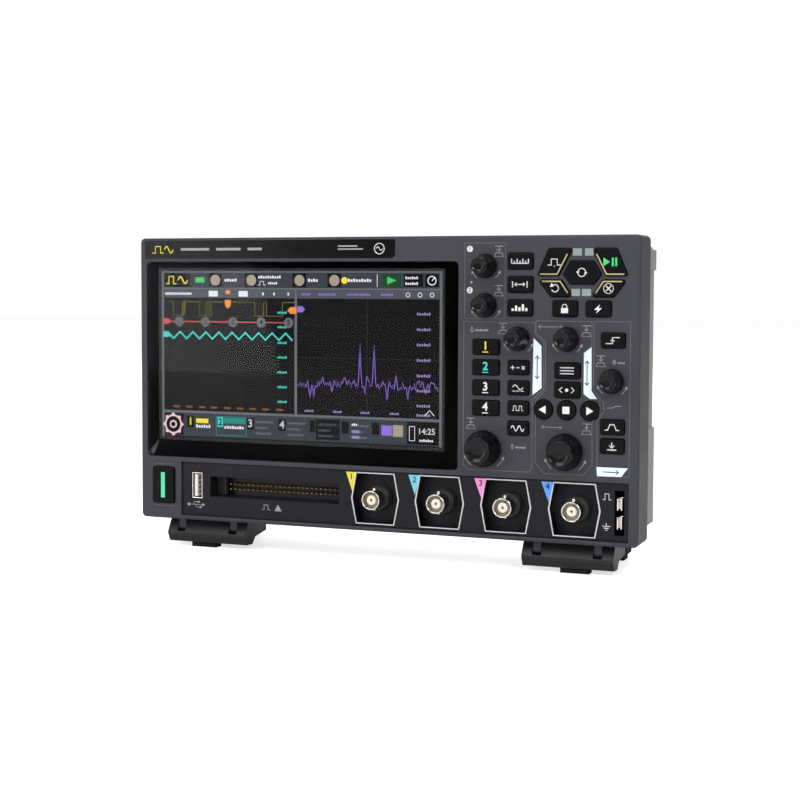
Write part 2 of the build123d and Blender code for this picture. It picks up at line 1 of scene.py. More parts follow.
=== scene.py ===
import bpy
import json
import math
import random
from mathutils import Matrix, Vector


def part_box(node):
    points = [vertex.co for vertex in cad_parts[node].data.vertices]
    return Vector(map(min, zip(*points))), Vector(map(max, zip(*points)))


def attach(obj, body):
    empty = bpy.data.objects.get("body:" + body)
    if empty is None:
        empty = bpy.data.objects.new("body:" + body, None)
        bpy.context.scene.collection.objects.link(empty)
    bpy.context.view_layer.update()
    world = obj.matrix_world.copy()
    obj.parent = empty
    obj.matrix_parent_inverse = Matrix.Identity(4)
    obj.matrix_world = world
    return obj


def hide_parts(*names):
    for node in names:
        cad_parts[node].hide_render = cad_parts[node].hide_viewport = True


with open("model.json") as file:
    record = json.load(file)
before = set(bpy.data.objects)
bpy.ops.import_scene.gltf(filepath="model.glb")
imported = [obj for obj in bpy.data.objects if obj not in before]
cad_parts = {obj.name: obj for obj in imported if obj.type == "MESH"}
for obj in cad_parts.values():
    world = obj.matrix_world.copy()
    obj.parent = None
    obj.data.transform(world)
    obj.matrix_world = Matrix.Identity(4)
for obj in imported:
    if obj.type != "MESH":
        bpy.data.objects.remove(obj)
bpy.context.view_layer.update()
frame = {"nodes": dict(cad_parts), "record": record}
bpy.ops.object.select_all(action="DESELECT")
print("frame loaded:", len(frame["nodes"]), "nodes")

mm = 0.001
bodyHeight = 146.35  # the housing alone, without its feet
bezelLow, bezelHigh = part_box("front_bezel")
frontY = bezelLow.y
baseZ = bezelHigh.z - bodyHeight * mm


def spot(x, y, z):  # millimetres: from the centre, behind the front face, above the body's underside
    return Vector((x * mm, frontY + y * mm, baseZ + z * mm))


def placeOf(node):  # middle of a node's box across and up, in the same millimetres
    low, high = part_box(node)
    return (low.x + high.x) / 2 / mm, ((low.z + high.z) / 2 - baseZ) / mm


def depthOf(node):  # nearest and furthest depth of a node behind the front face
    low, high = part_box(node)
    return (low.y - frontY) / mm, (high.y - frontY) / mm


# ---- camera, light and floor

camera = {"place": (288.5, -739.14, 137.79), "turn": (86.8286, -0.2078, 21.2799),
          "lens": 70.02, "sensor": 36, "shift": (0.0049, -0.0356)}


def makeCamera():
    place = [value * mm for value in camera["place"]]
    turn = [math.radians(value) for value in camera["turn"]]
    bpy.ops.object.camera_add(location=place, rotation=turn)
    eye = bpy.context.object
    eye.data.lens = camera["lens"]
    eye.data.sensor_width = camera["sensor"]
    eye.data.shift_x, eye.data.shift_y = camera["shift"]
    bpy.context.scene.camera = eye


studio = {"sky": 0.34, "backdrop": 1.0,
          "lamps": {"mainLamp": ((-0.6, -1.6, 1.3), 1.1, 15), "sideLamp": ((0.55, -0.62, 0.5), 0.4, 3.2),
            "topLamp": ((0.2, 0.3, 1.8), 1.2, 14), "backLamp": ((-0.4, 1.6, 1.0), 1.0, 10)},
          "card": {"place": (-1.16, -1.5, 0.33), "size": (0.6, 0.9), "power": 5.5, "lean": 15.7},
          "aim": (0, 0, 0.07), "floorSize": 12, "floorGlow": 0.66}


def brighterToLookAt(tree, given, looked, strength):  # gives one light and shows another
    seen = tree.nodes.new("ShaderNodeLightPath")
    level = tree.nodes.new("ShaderNodeMapRange")
    level.inputs["To Min"].default_value = given
    level.inputs["To Max"].default_value = looked
    tree.links.new(seen.outputs["Is Camera Ray"], level.inputs["Value"])
    tree.links.new(level.outputs["Result"], strength)


def makeStudio():
    world = bpy.data.worlds.new("studioAir")
    bpy.context.scene.world = world
    world.use_nodes = True
    air = world.node_tree.nodes["Background"]
    air.inputs["Color"].default_value = (1, 1, 1, 1)
    brighterToLookAt(world.node_tree, studio["sky"], studio["backdrop"], air.inputs["Strength"])
    for name, (place, size, power) in studio["lamps"].items():
        bpy.ops.object.light_add(type="AREA", location=place)
        lamp = bpy.context.object
        lamp.name = name
        lamp.data.size = size
        lamp.data.energy = power
        aim = Vector(studio["aim"]) - Vector(place)
        lamp.rotation_euler = aim.to_track_quat("-Z", "Y").to_euler()
    bpy.ops.object.light_add(type="AREA", location=studio["card"]["place"])
    card = bpy.context.object
    card.name = "leftCard"
    card.data.shape = "RECTANGLE"
    card.data.size, card.data.size_y = studio["card"]["size"]
    card.data.energy = studio["card"]["power"]
    card.rotation_euler = (math.pi / 2, 0, 0)
    card.rotation_euler.rotate_axis("Z", math.radians(studio["card"]["lean"]))
    bpy.ops.mesh.primitive_circle_add(vertices=96, radius=studio["floorSize"] / 2, fill_type="NGON")
    floor = bpy.context.object
    floor.name = "paleFloor"
    paint = finish("floorPaint", (0.9, 0.9, 0.9), 0.6, grain=2, bumps=0.01)
    shader = paint.node_tree.nodes["Principled BSDF"]
    shader.inputs["Emission Color"].default_value = (1, 1, 1, 1)
    brighterToLookAt(paint.node_tree, 0, studio["floorGlow"], shader.inputs["Emission Strength"])
    floor.data.materials.append(paint)


# ---- finishes

def colour(r, g, b):  # screen values 0 to 255 to a shader colour
    def curve(v):
        v /= 255
        return v / 12.92 if v <= 0.04045 else ((v + 0.055) / 1.055) ** 2.4
    return curve(r), curve(g), curve(b)


def finish(name, tint, rough, metal=0.0, grain=0.35, bumps=0.015, patch=30, shade=0.1,
           roughSpread=0.08, stretch=(1, 1, 1), coat=0.0, gloss=0.5):
    material = bpy.data.materials.new(name)
    material.use_nodes = True
    nodes, links = material.node_tree.nodes, material.node_tree.links
    shader = nodes["Principled BSDF"]
    shader.inputs["Metallic"].default_value = metal
    shader.inputs["Coat Weight"].default_value = coat
    shader.inputs["Specular IOR Level"].default_value = gloss
    coords = nodes.new("ShaderNodeTexCoord")
    turned = nodes.new("ShaderNodeMapping")
    turned.inputs["Scale"].default_value = stretch
    links.new(coords.outputs["Object"], turned.inputs["Vector"])

    def noise(size, detail):
        pattern = nodes.new("ShaderNodeTexNoise")
        pattern.inputs["Scale"].default_value = 1 / (size * mm)
        pattern.inputs["Detail"].default_value = detail
        links.new(turned.outputs["Vector"], pattern.inputs["Vector"])
        return pattern.outputs["Fac"]

    mix = nodes.new("ShaderNodeMix")
    mix.data_type = "RGBA"
    mix.inputs["A"].default_value = (*[v * (1 - shade) for v in tint], 1)
    mix.inputs["B"].default_value = (*[min(1, v * (1 + shade)) for v in tint], 1)
    links.new(noise(patch, 3), mix.inputs["Factor"])
    links.new(mix.outputs["Result"], shader.inputs["Base Color"])
    spread = nodes.new("ShaderNodeMapRange")
    spread.inputs["To Min"].default_value = max(0.02, rough - roughSpread)
    spread.inputs["To Max"].default_value = min(1, rough + roughSpread)
    links.new(noise(patch / 3, 4), spread.inputs["Value"])
    links.new(spread.outputs["Result"], shader.inputs["Roughness"])
    bump = nodes.new("ShaderNodeBump")
    bump.inputs["Distance"].default_value = bumps * mm
    links.new(noise(grain, 2), bump.inputs["Height"])
    links.new(bump.outputs["Normal"], shader.inputs["Normal"])
    return material


finishes = {}


def keep(name, *looks, **details):
    finishes[name] = finish(name, *looks, **details)


keep("bezelPlastic", colour(57, 58, 65), 0.5, grain=0.45, bumps=0.02, patch=45, shade=0.06, gloss=0.3)
keep("insertPlastic", colour(27, 27, 33), 0.42, grain=0.4, bumps=0.015, patch=35, shade=0.07, gloss=0.18)
keep("coverPlastic", colour(140, 139, 138), 0.55, grain=0.6, bumps=0.03, patch=60, shade=0.05, gloss=0.35)
keep("keyPlastic", colour(13, 13, 15), 0.36, grain=0.3, bumps=0.008, patch=6, shade=0.12, gloss=0.1)
keep("knobPlastic", colour(6, 6, 7), 0.2, grain=0.25, bumps=0.003, patch=8, shade=0.12, gloss=0.3)
keep("legPlastic", colour(24, 24, 27), 0.42, grain=0.4, bumps=0.015, patch=15, shade=0.1, gloss=0.45)
keep("footRubber", colour(20, 20, 21), 0.75, grain=0.3, bumps=0.04, patch=9, shade=0.15, gloss=0.2)
keep("brightNickel", (0.82, 0.79, 0.74), 0.16, metal=1, grain=0.5, bumps=0.003, patch=3, shade=0.06,
     roughSpread=0.07)
keep("creamInsulator", (0.83, 0.78, 0.66), 0.45, grain=0.2, bumps=0.004, patch=2, shade=0.05)
keep("goldPlate", (0.62, 0.45, 0.2), 0.3, metal=1, grain=0.3, bumps=0.002, patch=2, shade=0.1)
keep("blackMoulding", colour(19, 19, 21), 0.5, grain=0.3, bumps=0.01, patch=8, shade=0.12)
keep("whiteMoulding", (0.8, 0.79, 0.76), 0.4, grain=0.3, bumps=0.006, patch=4, shade=0.05)
keep("zincSheet", (0.55, 0.55, 0.56), 0.35, metal=1, grain=0.3, bumps=0.004, patch=20, shade=0.15,
     stretch=(0.08, 1, 1))
keep("screwZinc", (0.12, 0.12, 0.125), 0.35, metal=1, grain=0.2, bumps=0.004, patch=2, shade=0.15)
keep("shaftSteel", (0.6, 0.59, 0.58), 0.25, metal=1, grain=0.2, bumps=0.003, patch=2, shade=0.08,
     stretch=(1, 0.05, 1))
keep("greySilicone", (0.16, 0.16, 0.17), 0.6, grain=0.3, bumps=0.01, patch=12)
keep("greenBoard", (0.012, 0.1, 0.045), 0.35, grain=1.2, bumps=0.03, patch=5, shade=0.3, coat=0.3)
keep("stripGloss", colour(8, 8, 10), 0.2, grain=0.5, bumps=0.002, patch=20, shade=0.08, gloss=0.15)
keep("blackPrint", colour(42, 42, 43), 0.5, grain=0.5, bumps=0.001, patch=40, shade=0.08, gloss=0.1)


def glow(name, tint, strength=1.0, rough=0.4):  # something lit from behind, uneven as a diffuser is
    material = finish(name, [v * 0.1 for v in tint], rough, grain=0.2, bumps=0.001, patch=3, shade=0.1,
                gloss=0.1)
    shader = material.node_tree.nodes["Principled BSDF"]
    shader.inputs["Emission Color"].default_value = (*tint, 1)
    shader.inputs["Emission Strength"].default_value = strength
    return material


def ink(name, tint, rough=0.45):  # printed paint
    return finish(name, tint, rough, grain=0.15, bumps=0.002, patch=1.5, shade=0.08)


def clearGlass():
    material = finish("clearGlass", (1, 1, 1), 0.03, grain=6, bumps=0.00002, patch=50, shade=0.0,
                roughSpread=0.01)
    shader = material.node_tree.nodes["Principled BSDF"]
    shader.inputs["Transmission Weight"].default_value = 1
    shader.inputs["IOR"].default_value = 1.13
    return material


# ---- making and mending shapes

def chosen(piece):
    bpy.ops.object.select_all(action="DESELECT")
    piece.select_set(True)
    bpy.context.view_layer.objects.active = piece


def applied(piece, kind, **values):
    chosen(piece)
    modifier = piece.modifiers.new(kind.title(), kind)
    for key, value in values.items():
        setattr(modifier, key, value)
    bpy.ops.object.modifier_apply(modifier=modifier.name)


def rounded(piece, radius, steps=2, angle=30, clamp=True):
    applied(piece, "BEVEL", width=radius * mm, segments=steps, limit_method="ANGLE",
            angle_limit=math.radians(angle), use_clamp_overlap=clamp, miter_outer="MITER_ARC")
    smoothed(piece)


def smoothed(piece, angle=35):
    chosen(piece)
    bpy.ops.object.shade_smooth_by_angle(angle=math.radians(angle))
    applied(piece, "WEIGHTED_NORMAL", weight=80, keep_sharp=True)


def settled(piece, name, material, body):  # place goes into the mesh, then the piece rides
    chosen(piece)
    bpy.ops.object.transform_apply(location=True, rotation=True, scale=True)
    piece.name = name
    piece.data.materials.clear()
    piece.data.materials.append(finishes[material] if isinstance(material, str) else material)
    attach(piece, body)
    return piece


def joined(pieces):
    bpy.ops.object.select_all(action="DESELECT")
    for piece in pieces:
        piece.select_set(True)
    bpy.context.view_layer.objects.active = pieces[0]
    if len(pieces) > 1:
        bpy.ops.object.join()
    return bpy.context.object


def editAll():
    bpy.ops.object.mode_set(mode="EDIT")
    bpy.ops.mesh.select_all(action="SELECT")


def editDone():
    bpy.ops.object.mode_set(mode="OBJECT")


def cleaned(piece, merge=0.001):
    chosen(piece)
    editAll()
    bpy.ops.mesh.remove_doubles(threshold=merge * mm)
    bpy.ops.mesh.normals_make_consistent(inside=False)
    editDone()
    return piece


def softCopy(node, material, body, radius, steps=2, angle=30, clamp=True, merged=True):
    chosen(frame["nodes"][node])
    bpy.ops.object.duplicate()
    piece = bpy.context.object
    for key in list(piece.keys()):
        del piece[key]
    piece.parent = None
    bpy.ops.mesh.customdata_custom_splitnormals_clear()
    editAll()
    bpy.ops.mesh.remove_doubles(threshold=0.002 * mm)
    if merged:
        bpy.ops.mesh.dissolve_limited(angle_limit=math.radians(0.6))
    editDone()
    rounded(piece, radius, steps, angle, clamp)
    parts = node.split("_")
    settled(piece, parts[0] + "".join(part.title() for part in parts[1:]), material, body)
    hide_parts(node)
    return piece


def turned(x, z, profile, segments=64):
    radius, depth = profile[0]
    bpy.ops.mesh.primitive_circle_add(vertices=segments, radius=radius * mm, location=spot(x, depth, z),
                rotation=(math.pi / 2, 0, 0),
                fill_type="NOTHING" if profile[0] == profile[-1] else "NGON")
    editAll()
    for nextRadius, nextDepth in profile[1:]:
        step = (0, (nextDepth - depth) * mm, 0)
        bpy.ops.mesh.extrude_region_move(TRANSFORM_OT_translate={"value": step})
        share = nextRadius / radius
        bpy.ops.transform.resize(value=(share, 1, share), center_override=spot(x, nextDepth, z))
        radius, depth = nextRadius, nextDepth
    editDone()
    return cleaned(bpy.context.object)


def block(x0, z0, x1, z1, near, far, radius=0.0, steps=2):  # a bevelled box between two corners
    low, high = spot(x0, near, z0), spot(x1, far, z1)
    bpy.ops.mesh.primitive_cube_add(size=1, location=(low + high) / 2, scale=high - low)
    bpy.ops.object.transform_apply(location=True, rotation=True, scale=True)
    piece = bpy.context.object
    if radius:
        editAll()
        bpy.ops.mesh.bevel(offset=radius * mm, segments=steps, affect="EDGES")
        editDone()
    return piece


# ---- printed and lit marks: strokes and filled shapes on one plane, in millimetres

def line(width, *points, loop=False):
    return {"points": list(points), "width": width, "loop": loop}


def shape(*points):
    return {"points": list(points), "width": 0, "loop": True}


def bar(x0, z0, x1, z1):
    return shape((x0, z0), (x1, z0), (x1, z1), (x0, z1))


def arc(x, z, radius, start, end, steps=16):
    turns = [math.radians(start + (end - start) * i / steps) for i in range(steps + 1)]
    return [(x + radius * math.cos(t), z + radius * math.sin(t)) for t in turns]


def disc(x, z, radius, steps=24):
    return shape(*arc(x, z, radius, 0, 360, steps)[:-1])


def ring(x, z, radius, width, steps=28):
    return line(width, *arc(x, z, radius, 0, 360, steps)[:-1], loop=True)


def moved(marks, x, z, size=1.0):
    return [{**mark, "width": mark["width"] * size,
             "points": [(x + px * size, z + pz * size) for px, pz in mark["points"]]} for mark in marks]


def span(mark):
    across, up = zip(*mark["points"])
    return min(across), min(up), max(across), max(up)


def apart(one, other):
    a, b = span(one), span(other)
    return a[0] > b[2] or b[0] > a[2] or a[1] > b[3] or b[1] > a[3]


def fillGroups(marks):  # fills that overlap can't share a curve, and a hole stays with its outline
    groups = []
    for mark in marks:
        for group in groups[-1:] if mark.get("hole") else groups:
            if mark.get("hole") or all(apart(mark, other) for other in group):
                group.append(mark)
                break
        else:
            groups.append([mark])
    return groups


def marksMesh(marks, thick):  # strokes become flat ribbons, fills thin plates, both on the XY plane
    made = []
    strokes = [mark for mark in marks if mark["width"]]
    groups = ([strokes] if strokes else []) + fillGroups([mark for mark in marks if not mark["width"]])
    for group in groups:
        filled = group[0]["width"] == 0
        curve = bpy.data.curves.new("marks", "CURVE")
        curve.dimensions = "2D" if filled else "3D"
        if filled:
            curve.fill_mode = "BOTH"
            curve.extrude = thick / 2 * mm
        else:
            curve.twist_mode = "Z_UP"
            curve.bevel_depth = 0.5 * mm
            curve.bevel_resolution = 0
            curve.use_fill_caps = True
        for mark in group:
            spline = curve.splines.new("POLY")
            spline.points.add(len(mark["points"]) - 1)
            spline.use_cyclic_u = mark["loop"]
            for point, (px, pz) in zip(spline.points, mark["points"]):
                point.co = (px * mm, pz * mm, 0, 1)
                point.radius = mark["width"] or 1
        holder = bpy.data.objects.new("marks", curve)
        bpy.context.scene.collection.objects.link(holder)
        chosen(holder)
        bpy.ops.object.convert(target="MESH")
        if not filled:
            for vertex in holder.data.vertices:
                side = (vertex.co.z > 1e-7) - (vertex.co.z < -1e-7)
                vertex.co.z = side * thick / 2 * mm
        made.append(bpy.context.object)
    return cleaned(joined(made), 0.0005)


def writing(text, x, z, size, thick):  # numerals only
    bpy.ops.object.text_add()
    words = bpy.context.object
    words.data.body = text
    words.data.size = size * mm
    words.data.align_x, words.data.align_y = "CENTER", "CENTER"
    words.data.extrude = thick / 2 * mm
    words.data.offset = 0.02 * size * mm
    words.data.resolution_u = 3
    bpy.ops.object.convert(target="MESH")
    words = bpy.context.object
    words.location = (x * mm, z * mm, 0)
    bpy.ops.object.transform_apply(location=True)
    return cleaned(words, 0.0005)


def marked(name, marks, depth, material, body="body", slot="input_panel", thick=0.04, texts=()):
    made = [marksMesh(marks, thick)] if marks else []
    made += [writing(*text, thick) for text in texts]
    piece = joined(made)
    piece.rotation_euler = (math.pi / 2, 0, 0)
    piece.location = spot(0, depth, 0)
    return settled(piece, name, material, body)


# ---- housings, keys and legs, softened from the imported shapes

softened = {  # node: finish, slot, edge radius in millimetres, steps
    "front_bezel": ("bezelPlastic", "front_bezel", 0.35, 3),
    "input_panel": ("insertPlastic", "input_panel", 0.2, 2),
    "rear_cover": ("coverPlastic", "rear_cover", 0.5, 3),
    "logic_header": ("blackMoulding", "logic_header", 0.25, 2),
    "port_shells": ("brightNickel", "port_shells", 0.12, 2),
    "rear_feet": ("footRubber", "rear_feet", 0.6, 3),
    "fan_frame": ("blackMoulding", "fan_frame", 0.3, 2),
}


def makeHousings():
    for node, (material, slot, radius, steps) in softened.items():
        softCopy(node, material, "body", radius, steps, merged=False)
    softCopy("touch_glass", "clearGlass", "body", 0.12)
    softCopy("fan_rotor", "blackMoulding", "fan_rotor", 0.25)
    for side in ("left", "right"):
        leg = softCopy(f"{side}_tilt_leg", "legPlastic", f"{side}_tilt_leg", 0.5, 3)
        leg.data.materials.append(finishes["footRubber"])
        padTop = spot(0, 0, -12.2).z
        for face in leg.data.polygons:
            face.material_index = int(face.center.z < padTop - 0.9 * mm)
    print("housings and legs softened")


kept = {"lcd_module": "blackMoulding", "key_mat": "greySilicone",
        "key_board": "greenBoard", "main_board": "greenBoard", "chassis_plate": "zincSheet"}


def coverKeptNodes():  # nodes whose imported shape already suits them
    for node, material in kept.items():
        frame["nodes"][node].data.materials.clear()
        frame["nodes"][node].data.materials.append(finishes[material])
    for name, thing in frame["nodes"].items():
        if name.endswith("_shaft"):
            thing.data.materials.clear()
            thing.data.materials.append(finishes["shaftSteel"])


# ---- keys and their legends

def triangle(direction, size=2.0):
    return shape((direction * size, 0), (-direction * size * 0.72, size), (-direction * size * 0.72, -size))


pulse = ((-1, -1), (-0.45, -1), (-0.45, 1), (0.45, 1), (0.45, -1), (1, -1))
sine = [(x / 8 - 1, math.sin(math.pi * x / 8)) for x in range(17)]


def scaled(points, wide, tall, x=0.0, z=0.0):
    return [(x + px * wide, z + pz * tall) for px, pz in points]


legends = {
    "measure_key": [line(0.55, (-4.2, -1.1), (4.2, -1.1))]
            + [line(0.55, (-4.2 + 1.4 * i, -1.1), (-4.2 + 1.4 * i, 0.2 + 0.9 * (i % 2 == 0)))
            for i in range(7)],
    "cursor_key": [line(0.6, (-3.6, -1.5), (-3.6, 1.5)), line(0.6, (3.6, -1.5), (3.6, 1.5)),
            line(0.55, (-2.4, 0), (2.4, 0)), line(0.55, (-1.6, 0.8), (-2.5, 0), (-1.6, -0.8)),
            line(0.55, (1.6, 0.8), (2.5, 0), (1.6, -0.8))],
    "analyse_key": [bar(-4 + 1.7 * i, -1.5, -2.9 + 1.7 * i, -1.5 + tall)
            for i, tall in enumerate((1.2, 2.6, 1.8, 3.2, 1.4))],
    "touch_lock_key": [bar(-1.7, -2.1, 1.7, 0.3),
            line(0.5, (-1.1, 0.3), *arc(0, 0.9, 1.1, 180, 0), (1.1, 0.3))],
    "quick_key": [shape((0.9, 2.1), (-1.9, -0.4), (-0.2, -0.4), (-0.9, -2.1), (1.9, 0.4), (0.2, 0.4))],
    "math_key": [line(0.55, (-3.6, 0), (-1.6, 0)), line(0.55, (-2.6, -1), (-2.6, 1)),
            line(0.55, (-0.8, 0), (0.8, 0)), line(0.55, (1.8, -0.8), (3.4, 0.8)),
            line(0.55, (1.8, 0.8), (3.4, -0.8))],
    "reference_key": [line(0.5, *scaled(sine, 2.6, 1.1, 0, 0.3)), line(0.4, (-2.8, -1.5), (-1.2, -1.5)),
            line(0.4, (-0.7, -1.5), (0.9, -1.5)), line(0.4, (1.4, -1.5), (3.0, -1.5))],
    "logic_key": [line(0.5, *scaled(pulse, 1.4, 1.1, -1.4), *scaled(pulse, 1.4, 1.1, 1.4))],
    "generator_key": [line(0.55, *scaled(sine, 1.6, 1.3, -1.6), *scaled(sine[1:], 1.6, 1.3, 1.6))],
    "menu_key": [line(0.6, (-3.4, z), (3.4, z)) for z in (-1.4, 0, 1.4)],
    "navigate_key": [line(0.6, (side * 2.2, 1.3), (side * 3.6, 0), (side * 2.2, -1.3)) for side in (-1, 1)]
            + [disc(0, 0, 0.8)],
    "trigger_menu_key": [line(0.6, (-3.4, -1.4), (-0.2, -1.4), (-0.2, 1.4), (3.2, 1.4)),
            line(0.5, (-1.1, -0.4), (-0.2, 0.7), (0.7, -0.4))],
    "slope_key": [line(0.6, (-3.4, -1.3), (-2.0, -1.3), (-1.0, 1.3), (1.0, 1.3), (2.0, -1.3), (3.4, -1.3))],
    "force_key": [line(0.7, (-2.2, -1.7), (2.2, -1.7)), line(0.6, (0, 1.9), (0, -0.6)),
            line(0.6, (-1.2, 0.4), (0, -0.8), (1.2, 0.4))],
    "previous_key": [triangle(-1)],
    "stop_key": [bar(-1.7, -1.7, 1.7, 1.7)],
    "next_key": [triangle(1)],
    "single_key": [line(0.6, *scaled(pulse, 3.2, 1.4)), line(0.35, (0, -2.4), (0, -1.6))],
    "run_stop_key": [shape((-3.0, 2.0), (0.2, 0), (-3.0, -2.0)), bar(1.0, -2.0, 1.9, 2.0),
            bar(2.6, -2.0, 3.5, 2.0)],
    "default_key": [line(0.5, *arc(0, 0, 1.7, 140, -160, 24)), shape((-2.6, 0.6), (-0.6, 0.9), (-1.6, 2.6))],
    "clear_key": [line(0.6, (-1.3, -1.3), (1.3, 1.3)), line(0.6, (-1.3, 1.3), (1.3, -1.3)),
            ring(0, 0, 2.3, 0.35)],
    "auto_key": [line(0.5, *arc(0, 0, 1.9, 200, 340, 14)), line(0.5, *arc(0, 0, 1.9, 20, 160, 14)),
            shape((1.1, -0.5), (2.6, -0.5), (1.9, 0.8)), shape((-1.1, 0.5), (-2.6, 0.5), (-1.9, -0.8))],
}

channelInks = [("1", "inkYellow"), ("2", "inkTeal"), ("3", "inkWhite"), ("4", "inkWhite")]


def makeKeys():
    for name in frame["nodes"]:
        if name.endswith("_key"):
            softCopy(name, "keyPlastic", name, 0.3, 3)
            x, z = placeOf(name)
            face = depthOf(name)[0]
            if name in legends:
                tint = "inkGreen" if name == "run_stop_key" else "inkWhite"
                marked(name.replace("_key", "Legend"), moved(legends[name], x, z), face, tint, name, "keys")
    for number, tint in channelInks:
        node = f"channel_{number}_key"
        x, z = placeOf(node)
        marked(f"channel{number}Legend", [bar(x - 1.5, z - 2.6, x + 1.5, z - 2.15)], depthOf(node)[0], tint,
               node, "keys", texts=[(number, x, z + 0.45, 5.6)])
    x, z = placeOf("power_key")
    face = depthOf("power_key")[0]
    light = block(x - 1.2, z - 6.7, x + 1.2, z + 6.7, face - 0.15, face + 0.6, 0.3, 3)
    settled(light, "powerLight", "greenLight", "power_key")
    for side, upper, lower in ((-1, "single_key", "default_key"), (1, "run_stop_key", "clear_key")):
        for node, up in ((upper, 1), (lower, -1)):
            low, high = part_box(node)
            inner = (high.x if side < 0 else low.x) / mm
            outer = (low.x if side < 0 else high.x) / mm
            level = (low.z - baseZ) / mm + 1.3 if up > 0 else (high.z - baseZ) / mm - 1.3
            reach, turn, slope = (9.5, 7.2, 0.516) if up > 0 else (5.5, 5.7, 0.684)
            bend = inner + side * turn
            marked(node.replace("_key", "Trim"), [
                line(0.75, (outer - side * 1.7, level), (bend, level),
                     (bend - side * reach * slope, level + up * reach))],
                depthOf(node)[0], "inkChampagne", node, "keys")
    print("keys made")


# ---- control knobs

knobForms = {  # outline from the shaft bore round to the dish: radius, distance in front of the knob's base
    "small": {"outline": [(3.05, 7.0), (3.05, 0), (5.7, 0), (6.1, 0.3), (6.1, 1.2), (5.95, 1.9), (5.5, 2.6),
            (5.2, 4.2), (4.9, 6.2), (4.6, 8.2), (4.4, 9.4), (4.25, 10.2), (4.0, 10.6), (3.7, 10.7),
            (3.4, 10.55), (2.9, 10.15), (2.1, 9.95), (1.0, 9.85)],
            "fluted": (2.7, 9.6), "segments": 120},
    "large": {"outline": [(3.05, 7.0), (3.05, 0), (8.7, 0), (9.2, 0.35), (9.2, 1.3), (9.0, 2.0), (8.4, 2.7),
            (8.0, 4.4), (7.6, 6.2), (7.15, 8.0), (6.85, 9.3), (6.65, 10.1), (6.35, 10.55),
            (6.0, 10.7), (5.6, 10.55), (4.9, 10.1), (3.6, 9.85), (1.8, 9.75)],
            "fluted": (2.8, 9.5), "segments": 144},
}


def makeKnobs():
    for name in sorted(frame["nodes"]):
        if not name.endswith("_knob"):
            continue
        x, z = placeOf(name)
        base = depthOf(name)[1]
        form = knobForms["large" if name.endswith("scale_knob") else "small"]
        knob = turned(x, z, [(radius, base - ahead) for radius, ahead in form["outline"]], form["segments"])
        low, high = form["fluted"]
        axis = spot(x, base, z)
        for vertex in knob.data.vertices:
            place = knob.matrix_world @ vertex.co - axis
            around = round(math.atan2(place.z, place.x) / math.tau * form["segments"])
            outside = math.hypot(place.x, place.z) > 3.9 * mm
            vertex.select = outside and low * mm < -place.y < high * mm and around % 4 in (0, 1)
        bpy.ops.object.mode_set(mode="EDIT")
        bpy.ops.transform.resize(value=(0.965, 1, 0.965), center_override=axis)
        editDone()
        smoothed(knob, 50)
        settled(knob, name.replace("_knob", "Knob"), "knobPlastic", name)
        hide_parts(name)
    print("knobs turned")


# ---- coaxial connectors

connector = {
    "shell": [(4.05, 9.0), (4.05, 0.5), (4.15, 0.2), (4.3, 0.05), (4.45, 0), (4.6, 0.05), (4.75, 0.2),
            (4.8, 0.45), (4.8, 9.9), (5.0, 10.1), (5.0, 10.6), (4.8, 10.8), (4.8, 15.2), (6.9, 15.3)],
    "insulator": [(0.72, 8.0), (0.72, 1.35), (0.85, 1.2), (2.2, 1.2), (2.4, 1.4), (2.4, 7.0), (4.0, 7.1),
            (4.0, 9.0), (2.4, 9.0)],
    "contact": [(0.34, 6.0), (0.34, 1.75), (0.42, 1.62), (0.58, 1.62), (0.68, 1.8), (0.68, 7.9)],
    "stud": {"back": 5.55, "radius": 0.95, "rise": 1.0},
    "collar": [(4.9, 10.3), (5.9, 10.3), (6.2, 10.6), (6.2, 12.0), (6.45, 12.2), (6.45, 13.3), (4.9, 13.3),
            (4.9, 10.3)],
}


def makeConnectors():
    mounts = {mount["name"]: mount for mount in frame["record"]["mounts"]}
    shells, cores, contacts, collars = [], [], [], []
    for name, mount in mounts.items():
        if not name.endswith("_bnc"):
            continue
        toward = -1 if mount["axis"][1] > 0 else 1
        x = mount["pos_m"][0] / mm
        z = (mount["pos_m"][2] - baseZ) / mm
        front, back = depthOf("bnc_shells")
        isInput = toward > 0
        tip = front if isInput else back
        seat = 22 if isInput else 23.6

        def along(outline):
            return [(radius, tip + toward * behind) for radius, behind in outline]

        length = abs(seat - tip)
        body = connector["shell"] + [(6.9, length), (2.45, length), (2.45, 9.0), (4.05, 9.0)]
        shells.append(turned(x, z, along(body), 72))
        stud = connector["stud"]
        for side in (-1, 1):
            at = spot(x, tip + toward * stud["back"], z + side * (4.3 + stud["rise"] / 2))
            bpy.ops.mesh.primitive_cylinder_add(vertices=24, radius=stud["radius"] * mm,
                        depth=(stud["rise"] + 0.6) * mm, location=at)
            pin = bpy.context.object
            rounded(pin, 0.2, 2)
            shells.append(pin)
        cores.append(turned(x, z, along(connector["insulator"] + [(2.4, length)]), 40))
        contacts.append(turned(x, z, along(connector["contact"]), 24))
        if isInput:
            collars.append(turned(x, z, along(connector["collar"]), 64))
    for pieces, name, material, slot, nodes in (
            (shells, "bncShells", "brightNickel", "bnc_shells", ["bnc_shells"]),
            (cores, "bncInsulators", "creamInsulator", "bnc_insulators", ["bnc_insulators"]),
            (contacts, "bncContacts", "goldPlate", "bnc_shells", []),
            (collars, "bncCollars", "blackMoulding", "input_panel", [])):
        piece = joined(pieces)
        smoothed(piece, 40)
        settled(piece, name, material, "body")
        if nodes:
            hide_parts(*nodes)
    print("connectors made")


# ---- header pins, socket linings and screws

header = {"pins": 25, "pitch": 2.56, "middle": -52.1, "rowGap": 2.54, "thick": 0.64, "tip": 5.6, "back": 13.6}


